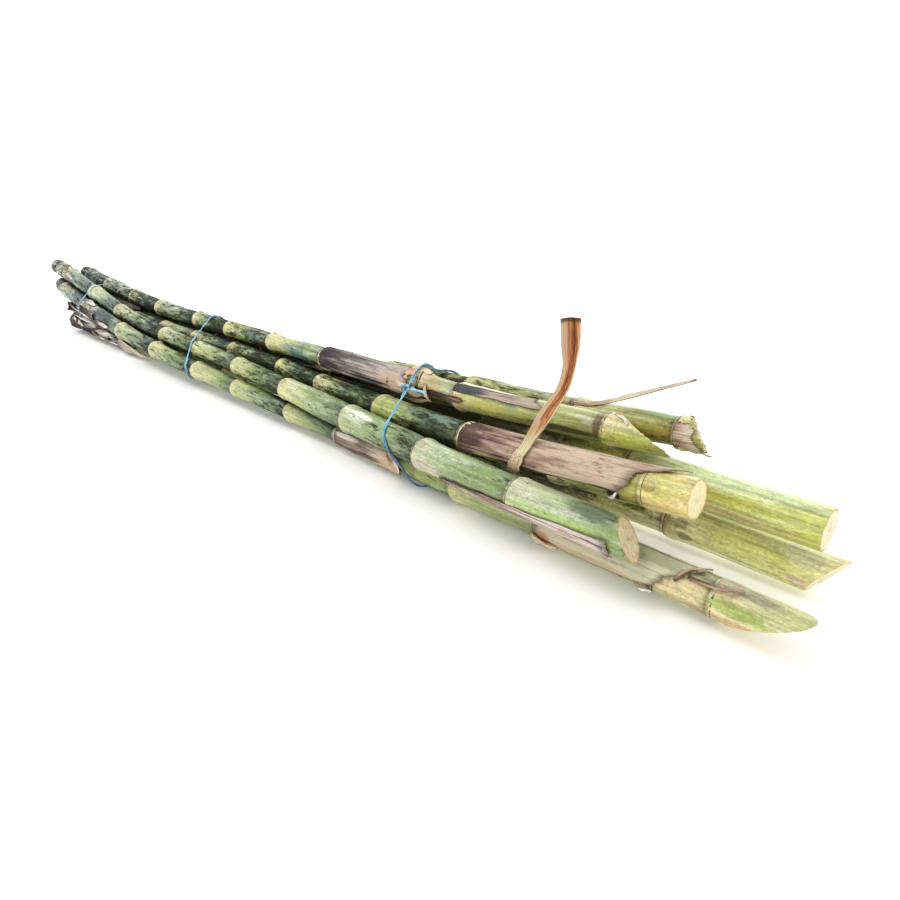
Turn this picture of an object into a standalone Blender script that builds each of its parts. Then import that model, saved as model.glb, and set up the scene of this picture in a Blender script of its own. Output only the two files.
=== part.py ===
"""Seven cut sugarcane stalks tied into a bundle with plastic twine, lying on a flat surface.

Metres, +Z up. X runs along the stalks from the butts (-X) to the tops (+X).
Round the stalks an angle is measured from +Y towards +Z.
"""
import math
import random

import bmesh
import bpy
import numpy as np
from mathutils import Vector

MM = 0.001

# Driving dimensions of a stalk
BUTT_RADIUS = 0.0170
WAIST_RADIUS = 0.0135
TAPER_FROM = -0.90
TAPER_LENGTH = 0.99
RIDGE = 0.0009
RIDGE_REACH = 0.003
BAND_SWELL = 0.0008
BAND_LENGTH = 0.014
NECK = 0.0004
NECK_LENGTH = 0.02
STALK_SIDE_STEPS = 4
LONGEST_SPAN = 0.085
RING_STEP = 0.004
CLOSEST_PLACES = 0.003

# Length added beyond a stalk's ends, so that its slanted cuts have room
BUTT_ROOM = 0.02
TIP_ROOM = 0.07

# Gaps and dry skins
CLEARANCE = 0.0003
SKIN = 0.0009
SKIN_LIFT = 0.0005
SKIN_SLACK = 0.0004
SKIN_REACH = RIDGE + SKIN_LIFT + SKIN + SKIN_SLACK
SKIN_MARGIN = 0.02

# Twine
TWINE_RADIUS = 0.0014
THIN_TWINE_RADIUS = 0.0010
KNOT_SIZE = 0.0036
KNOT_RISE = 0.0012
TAIL_LENGTHS = (0.030, 0.016)

# Each stalk's course: its centre (y, z) in millimetres at these stations along X
STATIONS = (-0.90, -0.45, 0.0, 0.40, 0.80)

# A stalk holds its first and last courses a little beyond the end stations
HELD_BEFORE = 0.06
HELD_AFTER = 0.09

# rings are the leaf scars, cut is the lean of the top cut and the way it faces, in degrees
CANES = {
    "cane_a": {
        "course": ((10, 80), (-35, 45), (-35, 25), (-35, 20), (-45, 20)),
        "butt": -0.905, "tip": 0.85, "top_radius": 0.0185, "swell_at": (0.25, 0.45),
        "rings": (-0.86, -0.68, -0.46, -0.30, -0.14, -0.01, 0.14, 0.26, 0.49, 0.62, 0.755, 0.81),
        "cut": (65, 280), "skins": ((-0.70, -0.56), (0.26, 0.42), (0.61, 0.84)),
        "colour": (0.42, 0.48, 0.20)},
    "cane_b": {
        "course": ((20, 110), (-5, 60), (-20, 55), (-50, 50), (-80, 65)),
        "butt": -0.955, "tip": 0.735, "top_radius": 0.0180, "swell_at": (0.05, 0.25),
        "rings": (-0.92, -0.87, -0.70, -0.535, -0.315, -0.175, -0.03, 0.125, 0.295, 0.45, 0.60),
        "cut": (35, 60), "skins": ((0.50, 0.76),),
        "colour": (0.36, 0.44, 0.20)},
    "cane_c": {
        "course": ((35, 55), (25, 50), (20, 60), (-10, 65), (-40, 105)),
        "butt": -0.88, "tip": 0.775, "top_radius": 0.0185, "swell_at": (0.15, 0.35),
        "rings": (-0.80, -0.67, -0.53, -0.39, -0.255, -0.115, 0.045, 0.16, 0.315, 0.485, 0.62, 0.73),
        "cut": (5, 330), "skins": ((0.48, 0.775),),
        "colour": (0.33, 0.38, 0.18)},
    "cane_d": {
        "course": ((40, 20), (40, 20), (60, 40), (65, 60), (50, 70)),
        "butt": -0.79, "tip": 0.86, "top_radius": 0.0205, "swell_at": (0.10, 0.35),
        "rings": (-0.74, -0.60, -0.45, -0.31, -0.16, -0.02, 0.12, 0.28, 0.45, 0.66),
        "cut": (3, 330), "skins": ((-0.80, -0.60),),
        "colour": (0.50, 0.58, 0.22)},
    "cane_e": {
        "course": ((-25, 20), (-15, 20), (20, 20), (55, 25), (58, 22)),
        "butt": -0.75, "tip": 0.865, "top_radius": 0.0200, "swell_at": (0.10, 0.35),
        "rings": (-0.70, -0.57, -0.42, -0.27, -0.12, 0.03, 0.18, 0.34, 0.52, 0.71),
        "cut": (35, 245), "skins": ((-0.76, -0.52),),
        "colour": (0.48, 0.52, 0.20)},
    "cane_f": {
        "course": ((70, 100), (50, 80), (35, 90), (25, 100), (45, 120)),
        "butt": -0.90, "tip": 0.68, "top_radius": 0.0158, "swell_at": (0.05, 0.20),
        "rings": (-0.87, -0.745, -0.59, -0.45, -0.275, -0.15, -0.005, 0.155, 0.375, 0.435, 0.64),
        "cut": (65, 55), "skins": ((0.14, 0.60),),
        "colour": (0.22, 0.28, 0.20)},
    "cane_g": {
        "course": ((65, 45), (55, 50), (55, 70), (55, 95), (75, 120)),
        "butt": -0.85, "tip": 0.72, "top_radius": 0.0163, "swell_at": (0.05, 0.20),
        "rings": (-0.79, -0.66, -0.52, -0.37, -0.22, -0.06, 0.10, 0.26, 0.42, 0.58, 0.70),
        "cut": (35, 45), "skins": ((0.66, 0.76),),
        "colour": (0.40, 0.45, 0.18)},
}
BUTT_CUT = (8, 120)

# Settling of the stalks against each other
SAMPLE_STEP = 0.02
SAMPLE_FROM = -0.98
SAMPLE_COUNT = 97
SMOOTH_ROUNDS = 240
PUSH_ROUNDS = 400
PULL = 0.04
STIFFNESS = 0.35
END_MARGIN = 0.05
TILT_ALLOWANCE = 1.006
# Half the length over which a stalk's direction is taken
AIM = 0.02

# Dry leaf sheaths: stalk, start and end along X, middle angle, span, raggedness, extra
# length at the first angle and at the last one
SHEATHS = {
    "sheath_a_mid": ("cane_a", 0.265, 0.405, 185, 105, 0.010, 0.0, 0.0),
    "sheath_a_top": ("cane_a", 0.62, 0.765, 155, 130, 0.006, 0.035, -0.008),
    "sheath_b_strip": ("cane_b", 0.52, 0.725, 222, 54, 0.004, 0.0, 0.0),
    "sheath_c": ("cane_c", 0.49, 0.72, 132, 140, 0.008, 0.050, -0.012),
    "sheath_f": ("cane_f", 0.16, 0.35, 140, 150, 0.010, 0.0, 0.020),
    "sheath_f_strip": ("cane_f", 0.435, 0.56, 125, 40, 0.010, 0.0, 0.020),
    "sheath_g_tip": ("cane_g", 0.70, 0.72, 190, 120, 0.008, 0.0, 0.022),
    "sheath_butt_d": ("cane_d", -0.785, -0.620, 200, 150, 0.012, 0.0, 0.0),
    "sheath_butt_e": ("cane_e", -0.745, -0.540, 150, 120, 0.014, 0.0, 0.0),
    "sheath_butt_a": ("cane_a", -0.68, -0.575, 205, 110, 0.010, 0.0, 0.0),
}
SHEATH_ROWS = 8
SHEATH_COLUMN_ANGLE = 15
FLARE = 0.0016
FLARE_FROM = 0.8

# Loose dry pieces: points over stalks as (stalk, X, angle, lift), then free points, and for
# all of them in turn the width and how far the strip is cupped
STRIPS = {
    "leaf_upright": {
        "on_canes": (("cane_c", 0.572, 222, 0.003), ("cane_c", 0.578, 200, 0.003),
                     ("cane_c", 0.584, 178, 0.003), ("cane_c", 0.588, 155, 0.003),
                     ("cane_c", 0.592, 130, 0.003)),
        "free": ((0.598, -0.019, 0.131), (0.606, -0.005, 0.156), (0.608, 0.001, 0.185),
                 (0.606, 0.001, 0.228)),
        "widths": (0.013, 0.014, 0.014, 0.014, 0.014, 0.013, 0.013, 0.015, 0.020),
        "cups": (0.0, 0.0, 0.0, 0.0, 0.1, 0.3, 0.5, 0.6, 0.7),
        "face": (0.45, -0.80, 0.40), "colour": (0.40, 0.20, 0.09)},
    "leaf_rib": {
        "on_canes": (("cane_g", 0.575, 125, 0.0002), ("cane_g", 0.600, 122, 0.0002)),
        "free": ((0.628, 0.068, 0.132), (0.662, 0.089, 0.146), (0.695, 0.105, 0.160)),
        "widths": (0.006, 0.006, 0.006, 0.005, 0.003),
        "cups": (0.0, 0.0, 0.2, 0.3, 0.2),
        "face": (0.2, -0.6, 0.75), "colour": (0.45, 0.33, 0.22)},
}
STRIP_THICKNESS = 0.0010
STRIP_COLUMNS = 4
STRIP_AIM = 0.01

# Twine: the way round as (angle round the bundle, X), a radius and the knot's angle
TIES = {
    "tie_near": {
        "way": ((0, 0.400), (80, 0.370), (120, 0.365), (150, 0.350), (175, 0.390), (190, 0.410),
                (230, 0.435), (300, 0.425), (360, 0.400)),
        "radius": TWINE_RADIUS, "knot": 122, "colour": (0.15, 0.42, 0.62)},
    "tie_far": {
        "way": ((0, -0.190), (80, -0.205), (100, -0.210), (155, -0.180), (190, -0.145),
                (230, -0.140), (300, -0.170), (360, -0.190)),
        "radius": TWINE_RADIUS, "knot": None, "colour": (0.15, 0.42, 0.62)},
    "tie_butt": {
        "way": ((0, -0.690), (90, -0.690), (180, -0.670), (270, -0.680), (360, -0.690)),
        "radius": THIN_TWINE_RADIUS, "knot": None, "colour": (0.45, 0.55, 0.62)},
}
TIE_CENTRE_OF = ("cane_c", "cane_d")
CIRCLE_STEP = 15
TIE_CHORD_ALLOWANCE = 0.0003
TIE_END_MARGIN = 0.02

WELD = 0.00001
SHARP_ANGLE = 40


def clear_scene():
    for thing in list(bpy.data.objects):
        bpy.data.objects.remove(thing, do_unlink=True)


def make_collection(name):
    group = bpy.data.collections.new(name)
    bpy.context.scene.collection.children.link(group)
    return group


def make_material(name, colour, roughness):
    material = bpy.data.materials.new(name)
    material.use_nodes = True
    shader = material.node_tree.nodes["Principled BSDF"]
    shader.inputs["Base Color"].default_value = (*colour, 1.0)
    shader.inputs["Roughness"].default_value = roughness
    shader.inputs["Metallic"].default_value = 0.0
    return material


def smooth_step(t):
    t = np.clip(t, 0.0, 1.0)
    return t * t * (3 - 2 * t)


def natural_spline(knots, values, at):
    """Natural cubic spline through the knots."""
    knots = np.asarray(knots, float)
    values = np.asarray(values, float)
    spans = np.diff(knots)
    count = len(knots)
    matrix = np.eye(count)
    side = np.zeros(count)
    for i in range(1, count - 1):
        matrix[i, i - 1] = spans[i - 1]
        matrix[i, i] = 2 * (spans[i - 1] + spans[i])
        matrix[i, i + 1] = spans[i]
        rise = (values[i + 1] - values[i]) / spans[i] - (values[i] - values[i - 1]) / spans[i - 1]
        side[i] = 6 * rise
    bend = np.linalg.solve(matrix, side)
    at = np.asarray(at, float)
    k = np.clip(np.searchsorted(knots, at) - 1, 0, count - 2)
    a = knots[k + 1] - at
    b = at - knots[k]
    h = spans[k]
    cubic = (bend[k] * a**3 + bend[k + 1] * b**3) / (6 * h)
    return cubic + (values[k] / h - bend[k] * h / 6) * a + (values[k + 1] / h - bend[k + 1] * h / 6) * b


def body_radius(cane, x):
    """Radius between the nodes: thick at the butt, slim in the middle, thick in the top."""
    x = np.asarray(x, float)
    lower = BUTT_RADIUS + (WAIST_RADIUS - BUTT_RADIUS) * np.clip((x - TAPER_FROM) / TAPER_LENGTH, 0, 1)
    start, end = cane["swell_at"]
    blend = smooth_step((x - start) / (end - start))
    return lower * (1 - blend) + cane["top_radius"] * blend


def node_relief(cane, x):
    """Height of the scar ridge and the root band above the body, at x."""
    relief = 0.0
    for ring in cane["rings"]:
        d = x - ring
        if abs(d) < RIDGE_REACH:
            relief = max(relief, RIDGE * (1 - abs(d) / RIDGE_REACH))
        if 0 <= d < BAND_LENGTH:
            relief = max(relief, BAND_SWELL * (0.55 + 0.45 * math.sin(math.pi * d / BAND_LENGTH)))
        if -NECK_LENGTH < d < 0 and relief <= 0:
            relief = -NECK * (1 + d / NECK_LENGTH)
    return relief


def girth(cane, x):
    return float(body_radius(cane, x)) + node_relief(cane, x)


def envelope(cane, x):
    """Largest radius near x, with any dry skin, as its neighbours and the twine meet it."""
    near = [x + step * RING_STEP for step in range(-4, 5)]
    radius = max(girth(cane, place) for place in near)
    for start, end in cane["skins"]:
        if start - SKIN_MARGIN < x < end + SKIN_MARGIN:
            radius = max(radius, float(body_radius(cane, x)) + SKIN_REACH)
    return radius


def settled_courses():
    """Centre of every stalk at its sections, pushed apart until none overlap."""
    xs = SAMPLE_FROM + SAMPLE_STEP * np.arange(SAMPLE_COUNT)
    names = list(CANES)
    centres = np.zeros((len(names), SAMPLE_COUNT, 2))
    needs = np.zeros((len(names), SAMPLE_COUNT))
    present = np.zeros((len(names), SAMPLE_COUNT), bool)
    for i, name in enumerate(names):
        cane = CANES[name]
        course = np.array(cane["course"]) * MM
        held = np.clip(xs, STATIONS[0] - HELD_BEFORE, STATIONS[-1] + HELD_AFTER)
        for axis in range(2):
            centres[i, :, axis] = natural_spline(STATIONS, course[:, axis], held)
        needs[i] = [envelope(cane, x) * TILT_ALLOWANCE for x in xs]
        present[i] = (xs > cane["butt"] - END_MARGIN) & (xs < cane["tip"] + END_MARGIN)
    targets = centres.copy()
    for step in range(SMOOTH_ROUNDS + PUSH_ROUNDS):
        if step < SMOOTH_ROUNDS:
            centres += PULL * (targets - centres)
            inner = (centres[:, 2:] + centres[:, :-2]) / 2 - centres[:, 1:-1]
            centres[:, 1:-1] += STIFFNESS * inner
        for i in range(len(names)):
            for j in range(i):
                both = present[i] & present[j]
                apart = centres[i] - centres[j]
                distance = np.hypot(apart[:, 0], apart[:, 1])
                short = np.maximum(0, needs[i] + needs[j] + CLEARANCE - distance) * both
                push = 0.5 * (short / distance)[:, None] * apart
                centres[i] += push
                centres[j] -= push
            centres[i, :, 1] = np.maximum(centres[i, :, 1], needs[i])
    courses = {}
    for i, name in enumerate(names):
        places = cane_places(CANES[name])
        path = [np.interp(places, xs, centres[i, :, axis]) for axis in range(2)]
        courses[name] = (places, np.column_stack(path))
    return courses


def centre_at(courses, name, x):
    xs, centres = courses[name]
    return float(np.interp(x, xs, centres[:, 0])), float(np.interp(x, xs, centres[:, 1]))


def frame_at(courses, name, x):
    """Centre of a stalk at x with its side and up directions square to its axis."""
    y0, z0 = centre_at(courses, name, x - AIM)
    y1, z1 = centre_at(courses, name, x + AIM)
    axis = Vector((2 * AIM, y1 - y0, z1 - z0)).normalized()
    side = (Vector((0, 1, 0)) - axis * axis.y).normalized()
    above = axis.cross(side)
    return Vector((x, *centre_at(courses, name, x))), axis, side, above


def on_cane(courses, name, x, angle, lift):
    """Point over a stalk, lift above its ridges, and the way out from its axis there."""
    centre, axis, side, above = frame_at(courses, name, x)
    radius = float(body_radius(CANES[name], x)) + RIDGE + lift
    turn = math.radians(angle)
    out = math.cos(turn) * side + math.sin(turn) * above
    return centre + radius * out, out


def curve_to_mesh(curve_object, name, material, group):
    """Make a curve's tube a mesh object with welded caps and remove the curve."""
    bpy.context.view_layer.update()
    evaluated = curve_object.evaluated_get(bpy.context.evaluated_depsgraph_get())
    mesh = bpy.data.meshes.new_from_object(evaluated)
    mesh.name = name
    shape = bmesh.new()
    shape.from_mesh(mesh)
    bmesh.ops.remove_doubles(shape, verts=shape.verts, dist=WELD)
    shape.to_mesh(mesh)
    shape.free()
    solid = bpy.data.objects.new(name, mesh)
    solid.matrix_world = curve_object.matrix_world
    group.objects.link(solid)
    mesh.materials.clear()
    mesh.materials.append(material)
    bpy.data.objects.remove(curve_object, do_unlink=True)
    return solid


def make_tube(name, points, radii, side_steps, closed, material, group):
    curve = bpy.data.curves.new(name, "CURVE")
    curve.dimensions = "3D"
    curve.twist_mode = "Z_UP"
    curve.bevel_depth = 1.0
    curve.bevel_resolution = side_steps
    curve.use_fill_caps = not closed
    spline = curve.splines.new("POLY")
    spline.points.add(len(points) - 1)
    for point, place, radius in zip(spline.points, points, radii):
        point.co = (*place, 1.0)
        point.radius = radius
    spline.use_cyclic_u = closed
    route = bpy.data.objects.new(name + "_route", curve)
    group.objects.link(route)
    return curve_to_mesh(route, name, material, group)


def cane_places(cane):
    """Places along X that a stalk's rings, root bands and internodes need."""
    places = {cane["butt"] - BUTT_ROOM, cane["tip"] + TIP_ROOM}
    rings = list(cane["rings"]) + [cane["tip"] + TIP_ROOM]
    for ring, following in zip(rings, rings[1:]):
        for step in (-RING_STEP, 0.0, RING_STEP, BAND_LENGTH):
            places.add(ring + step)
        spans = math.ceil((following - ring) / LONGEST_SPAN)
        for k in range(1, spans):
            places.add(ring + BAND_LENGTH + (following - ring - BAND_LENGTH) * k / spans)
    ordered = sorted(places)
    kept = [ordered[0]]
    for place in ordered[1:]:
        if place - kept[-1] > CLOSEST_PLACES:
            kept.append(place)
    return kept


def cut_end(solid, place, normal):
    """Cut a solid with a plane, drop what lies beyond and close the cut."""
    shape = bmesh.new()
    shape.from_mesh(solid.data)
    everything = shape.verts[:] + shape.edges[:] + shape.faces[:]
    bmesh.ops.bisect_plane(shape, geom=everything, dist=WELD, plane_co=place,
                           plane_no=normal, clear_outer=True)
    rim = [edge for edge in shape.edges if edge.is_boundary]
    bmesh.ops.holes_fill(shape, edges=rim, sides=len(rim) + 1)
    bmesh.ops.recalc_face_normals(shape, faces=shape.faces)
    shape.to_mesh(solid.data)
    shape.free()


def cut_normal(axis, side, above, lean, facing):
    tilt = math.radians(lean)
    turn = math.radians(facing)
    across = math.cos(turn) * side + math.sin(turn) * above
    return math.cos(tilt) * axis + math.sin(tilt) * across


def make_cane(courses, name, group):
    cane = CANES[name]
    places = cane_places(cane)
    points = [Vector((x, *centre_at(courses, name, x))) for x in places]
    radii = [girth(cane, x) for x in places]
    material = make_material(name + "_rind", cane["colour"], 0.5)
    solid = make_tube(name, points, radii, STALK_SIDE_STEPS, False, material, group)
    centre, axis, side, above = frame_at(courses, name, cane["tip"])
    cut_end(solid, centre, cut_normal(axis, side, above, *cane["cut"]))
    centre, axis, side, above = frame_at(courses, name, cane["butt"])
    cut_end(solid, centre, -cut_normal(axis, side, above, *BUTT_CUT))
    solid.data.shade_smooth()
    solid.data.set_sharp_from_angle(angle=math.radians(SHARP_ANGLE))
    return solid


def solid_from_grid(name, columns, rows, place, thickness, material, group):
    """Bend a grid by a formula place(u, v) and thicken it outwards."""
    shape = bmesh.new()
    bmesh.ops.create_grid(shape, x_segments=columns, y_segments=rows, size=0.5)
    for vertex in shape.verts:
        vertex.co = place(vertex.co.x + 0.5, vertex.co.y + 0.5)
    bmesh.ops.triangulate(shape, faces=shape.faces)
    mesh = bpy.data.meshes.new(name)
    shape.to_mesh(mesh)
    shape.free()
    mesh.materials.append(material)
    solid = bpy.data.objects.new(name, mesh)
    group.objects.link(solid)
    skin = solid.modifiers.new("thickness", "SOLIDIFY")
    skin.thickness = thickness
    skin.offset = 1.0
    skin.use_even_offset = False
    return solid


def make_sheath(courses, name, group):
    cane_name, start, end, middle, span, ragged, first_extra, last_extra = SHEATHS[name]
    columns = max(2, round(span / SHEATH_COLUMN_ANGLE))
    draw = random.Random(name)
    teeth = [draw.uniform(-1.0, 0.6) * ragged for _ in range(columns + 1)]
    material = make_material(name + "_dry", (0.36, 0.27, 0.24), 0.75)

    def place(u, v):
        k = round(u * columns)
        angle = middle + span * (u - 0.5)
        far = end + teeth[k] + first_extra * (1 - u) ** 2 + last_extra * u * u
        x = start + (far - start) * v
        flared = max(0.0, v - FLARE_FROM) / (1 - FLARE_FROM)
        lift = SKIN_LIFT + FLARE * flared * abs(math.sin(5 * u + 1))
        return on_cane(courses, cane_name, x, angle, lift)[0]

    return solid_from_grid(name, columns, SHEATH_ROWS, place, SKIN, material, group)


def make_strip(courses, name, group):
    strip = STRIPS[name]
    held = [on_cane(courses, *point) for point in strip["on_canes"]]
    face = Vector(strip["face"]).normalized()
    route = [point for point, out in held] + [Vector(point) for point in strip["free"]]
    faces = [out for point, out in held] + [face] * len(strip["free"])
    knots = np.linspace(0, 1, len(route))
    rows = 3 * (len(route) - 1)

    def smooth(points, v):
        return Vector([float(natural_spline(knots, [p[axis] for p in points], v)) for axis in range(3)])

    def place(u, v):
        before = smooth(route, max(0.0, v - STRIP_AIM))
        along = (smooth(route, min(1.0, v + STRIP_AIM)) - before).normalized()
        across = along.cross(smooth(faces, v)).normalized()
        out = across.cross(along).normalized()
        width = float(np.interp(v, knots, strip["widths"]))
        cup = float(np.interp(v, knots, strip["cups"]))
        bend = cup * 4 * (u - 0.5) ** 2 * width * 0.5
        return smooth(route, v) + across * width * (u - 0.5) + out * bend

    material = make_material(name + "_dry", strip["colour"], 0.7)
    return solid_from_grid(name, STRIP_COLUMNS, rows, place, STRIP_THICKNESS, material, group)


def outer_hull(points):
    """Corners of the convex hull of (y, z, x) points, taken in y and z."""
    ordered = sorted(points)

    def half(sequence):
        chain = []
        for point in sequence:
            while len(chain) > 1:
                a, b = chain[-2], chain[-1]
                turn = (b[0] - a[0]) * (point[1] - a[1]) - (b[1] - a[1]) * (point[0] - a[0])
                if turn > 1e-9:
                    break
                chain.pop()
            chain.append(point)
        return chain[:-1]

    return half(ordered) + half(reversed(ordered))


def tie_loop(courses, tie):
    """Points of taut twine round the stalks, and the bundle's centre there."""
    angles = [step[0] for step in tie["way"]]
    places = [step[1] for step in tie["way"]]
    first = np.array([centre_at(courses, name, places[0]) for name in TIE_CENTRE_OF])
    middle = first.mean(axis=0)
    candidates = []
    for name, cane in CANES.items():
        if not cane["butt"] + TIE_END_MARGIN < places[0] < cane["tip"] - TIE_END_MARGIN:
            continue
        for turn in range(0, 360, CIRCLE_STEP):
            x = places[0]
            for _ in range(3):
                y, z = centre_at(courses, name, x)
                reach = envelope(cane, x) * TILT_ALLOWANCE + CLEARANCE + TIE_CHORD_ALLOWANCE
                reach += tie["radius"]
                y += reach * math.cos(math.radians(turn))
                z += reach * math.sin(math.radians(turn))
                way = math.degrees(math.atan2(z - middle[1], y - middle[0])) % 360
                x = float(np.interp(way, angles, places))
            candidates.append((y, z, x))
    return [Vector((x, y, z)) for y, z, x in outer_hull(candidates)], middle


def join_solids(main, others):
    """Union the others into the main solid and remove them."""
    for other in others:
        union = main.modifiers.new("join", "BOOLEAN")
        union.operation = "UNION"
        union.solver = "EXACT"
        union.object = other
    bpy.context.view_layer.update()
    evaluated = main.evaluated_get(bpy.context.evaluated_depsgraph_get())
    joined = bpy.data.meshes.new_from_object(evaluated)
    main.modifiers.clear()
    main.data = joined
    for other in others:
        bpy.data.objects.remove(other, do_unlink=True)


def make_knot(name, place, outward, size, material, group):
    """The knot's lump, flattened against the stalks."""
    shape = bmesh.new()
    bmesh.ops.create_uvsphere(shape, u_segments=8, v_segments=6, radius=size)
    across = outward.cross(Vector((1, 0, 0))).normalized()
    for vertex in shape.verts:
        low = vertex.co.copy()
        vertex.co = place + Vector((1, 0, 0)) * low.x + across * low.y * 1.5 + outward * low.z * 0.8
    bmesh.ops.recalc_face_normals(shape, faces=shape.faces)
    mesh = bpy.data.meshes.new(name)
    shape.to_mesh(mesh)
    shape.free()
    mesh.materials.append(material)
    knot = bpy.data.objects.new(name, mesh)
    group.objects.link(knot)
    return knot


def make_tie(courses, name, group):
    tie = TIES[name]
    points, middle = tie_loop(courses, tie)
    material = make_material(name + "_twine", tie["colour"], 0.4)
    radii = [tie["radius"]] * len(points)
    loop = make_tube(name, points, radii, 1, True, material, group)
    if tie["knot"] is None:
        return loop

    def turn_of(point):
        return math.degrees(math.atan2(point.z - middle[1], point.y - middle[0])) % 360

    k = min(range(len(points)), key=lambda i: abs(turn_of(points[i]) - tie["knot"]))
    outward = Vector((0, points[k].y - middle[0], points[k].z - middle[1])).normalized()
    place = points[k] + outward * KNOT_RISE
    knot = make_knot(name + "_knot", place, outward, KNOT_SIZE, material, group)
    tails = []
    for turn, length in zip((1, -1), TAIL_LENGTHS):
        lean = (Vector((0.8, 0.25 * turn, 0.1)) + outward * 0.45).normalized()
        start = place + outward * 0.0004
        tail_points = [start + lean * length * t + outward * 0.004 * t * t for t in (0, 0.35, 0.7, 1)]
        tails.append(make_tube(f"{name}_tail{turn}", tail_points, [TWINE_RADIUS] * 4, 1, False,
                               material, group))
    join_solids(loop, [knot] + tails)
    return loop


def lay_on_floor(group):
    """Bring the bundle's lowest point to z = 0 and its middle to x = y = 0."""
    bpy.context.view_layer.update()
    depsgraph = bpy.context.evaluated_depsgraph_get()
    corners = []
    for solid in group.objects:
        evaluated = solid.evaluated_get(depsgraph)
        corners += [evaluated.matrix_world @ v.co for v in evaluated.data.vertices]
    lows = [min(c[axis] for c in corners) for axis in range(3)]
    highs = [max(c[axis] for c in corners) for axis in range(3)]
    shift = Vector((-(lows[0] + highs[0]) / 2, -(lows[1] + highs[1]) / 2, -lows[2]))
    for solid in group.objects:
        solid.location = solid.location + shift


def build():
    clear_scene()
    group = make_collection("sugarcane_bundle")
    courses = settled_courses()
    for name in CANES:
        make_cane(courses, name, group)
    for name in SHEATHS:
        make_sheath(courses, name, group)
    for name in STRIPS:
        make_strip(courses, name, group)
    for name in TIES:
        make_tie(courses, name, group)
    lay_on_floor(group)


build()
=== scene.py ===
"""Looks for a tied bundle of cut sugarcane stalks: fine stalks, dry sheaths, strips and twine."""
import math
import random

import bpy
import numpy as np
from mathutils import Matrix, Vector


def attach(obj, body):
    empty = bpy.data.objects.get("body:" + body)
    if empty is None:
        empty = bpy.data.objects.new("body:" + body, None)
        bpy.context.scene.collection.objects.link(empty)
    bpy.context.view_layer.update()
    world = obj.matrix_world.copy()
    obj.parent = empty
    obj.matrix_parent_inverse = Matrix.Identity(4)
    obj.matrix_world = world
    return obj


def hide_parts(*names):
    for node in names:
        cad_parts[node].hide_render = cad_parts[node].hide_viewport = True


MM = 0.001
TAU = 2 * math.pi

# From the stalks' own coordinates to the part's: the shift that lays it on the floor
SHIFT = np.array((0.0338, -0.0053, 0.0037))

# Camera, worked out from the photograph's perspective
CAMERA_PLACE = np.array((1.000, -0.570, 0.375)) + SHIFT
CAMERA_TURN = 44.49
CAMERA_PITCH = 22.89
CAMERA_LENS = 28.0
SENSOR = 36.0

# Shape of a stalk, as the solids have it
BUTT_RADIUS = 0.0170
WAIST_RADIUS = 0.0135
TAPER_FROM = -0.90
TAPER_LENGTH = 0.99
RIDGE = 0.0009
RIDGE_REACH = 0.003
BAND_SWELL = 0.0008
BAND_LENGTH = 0.014
BAND_EDGE = 0.55
NECK = 0.0004
NECK_LENGTH = 0.02
RING_STEP = 0.004
CLOSEST_PLACES = 0.003
BUTT_ROOM = 0.02
TIP_ROOM = 0.07
LONGEST_SPAN = 0.085
CLEARANCE = 0.0003
SKIN = 0.0009
SKIN_LIFT = 0.0005
SKIN_SLACK = 0.0004
SKIN_REACH = RIDGE + SKIN_LIFT + SKIN + SKIN_SLACK
SKIN_MARGIN = 0.02
STATIONS = (-0.90, -0.45, 0.0, 0.40, 0.80)
HELD_BEFORE = 0.06
HELD_AFTER = 0.09
AIM = 0.02
BUTT_CUT = (8, 120)

# Fine forms that the solids leave out
FAINT_WEIGHT = 0.2
UNEVEN = 0.00025
UNEVEN_WAVES = (6, 0.05, 0.22)
FLUTE = 0.00006
FLUTE_WAVES = (5, 0.4, 1.2)
FLUTES_ROUND = 7
SWELL_ABOVE = 0.0010
SWELL_START = 0.004
SWELL_REACH = 0.040
SLIM_BELOW = 0.0005
SLIM_REACH = 0.030
RIDGE_WIDTH = 0.0014
GROWTH_RING = 0.00014
GROWTH_GAP = 0.002
GROWTH_WIDTH = 0.0012
NECK_PLACE = 0.010
NECK_WIDTH = 0.008
BUD_HEIGHT = 0.0015
BUD_PLACE = 0.0080
BUD_HALF_LENGTH = 0.0075
BUD_HALF_WIDTH = 0.0048
GROOVE = 0.0006
GROOVE_FROM = 0.016
GROOVE_TO = 0.03
GROOVE_STARTS_OVER = 0.01
GROOVE_ENDS_OVER = 0.06
RING_WANDER = (0.0007, 0.0004)
FRINGE = 0.35
FINE_REACH = 0.012
CLEAN_CUT = 0.0006
TORN_CUTS = {"cane_f": 0.006, "cane_g": 0.005, "cane_b": 0.0012}
BUTT_RAGGED = 0.0008
TORN_WAVES = (3, 5, 9, 14, 23, 31)

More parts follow.
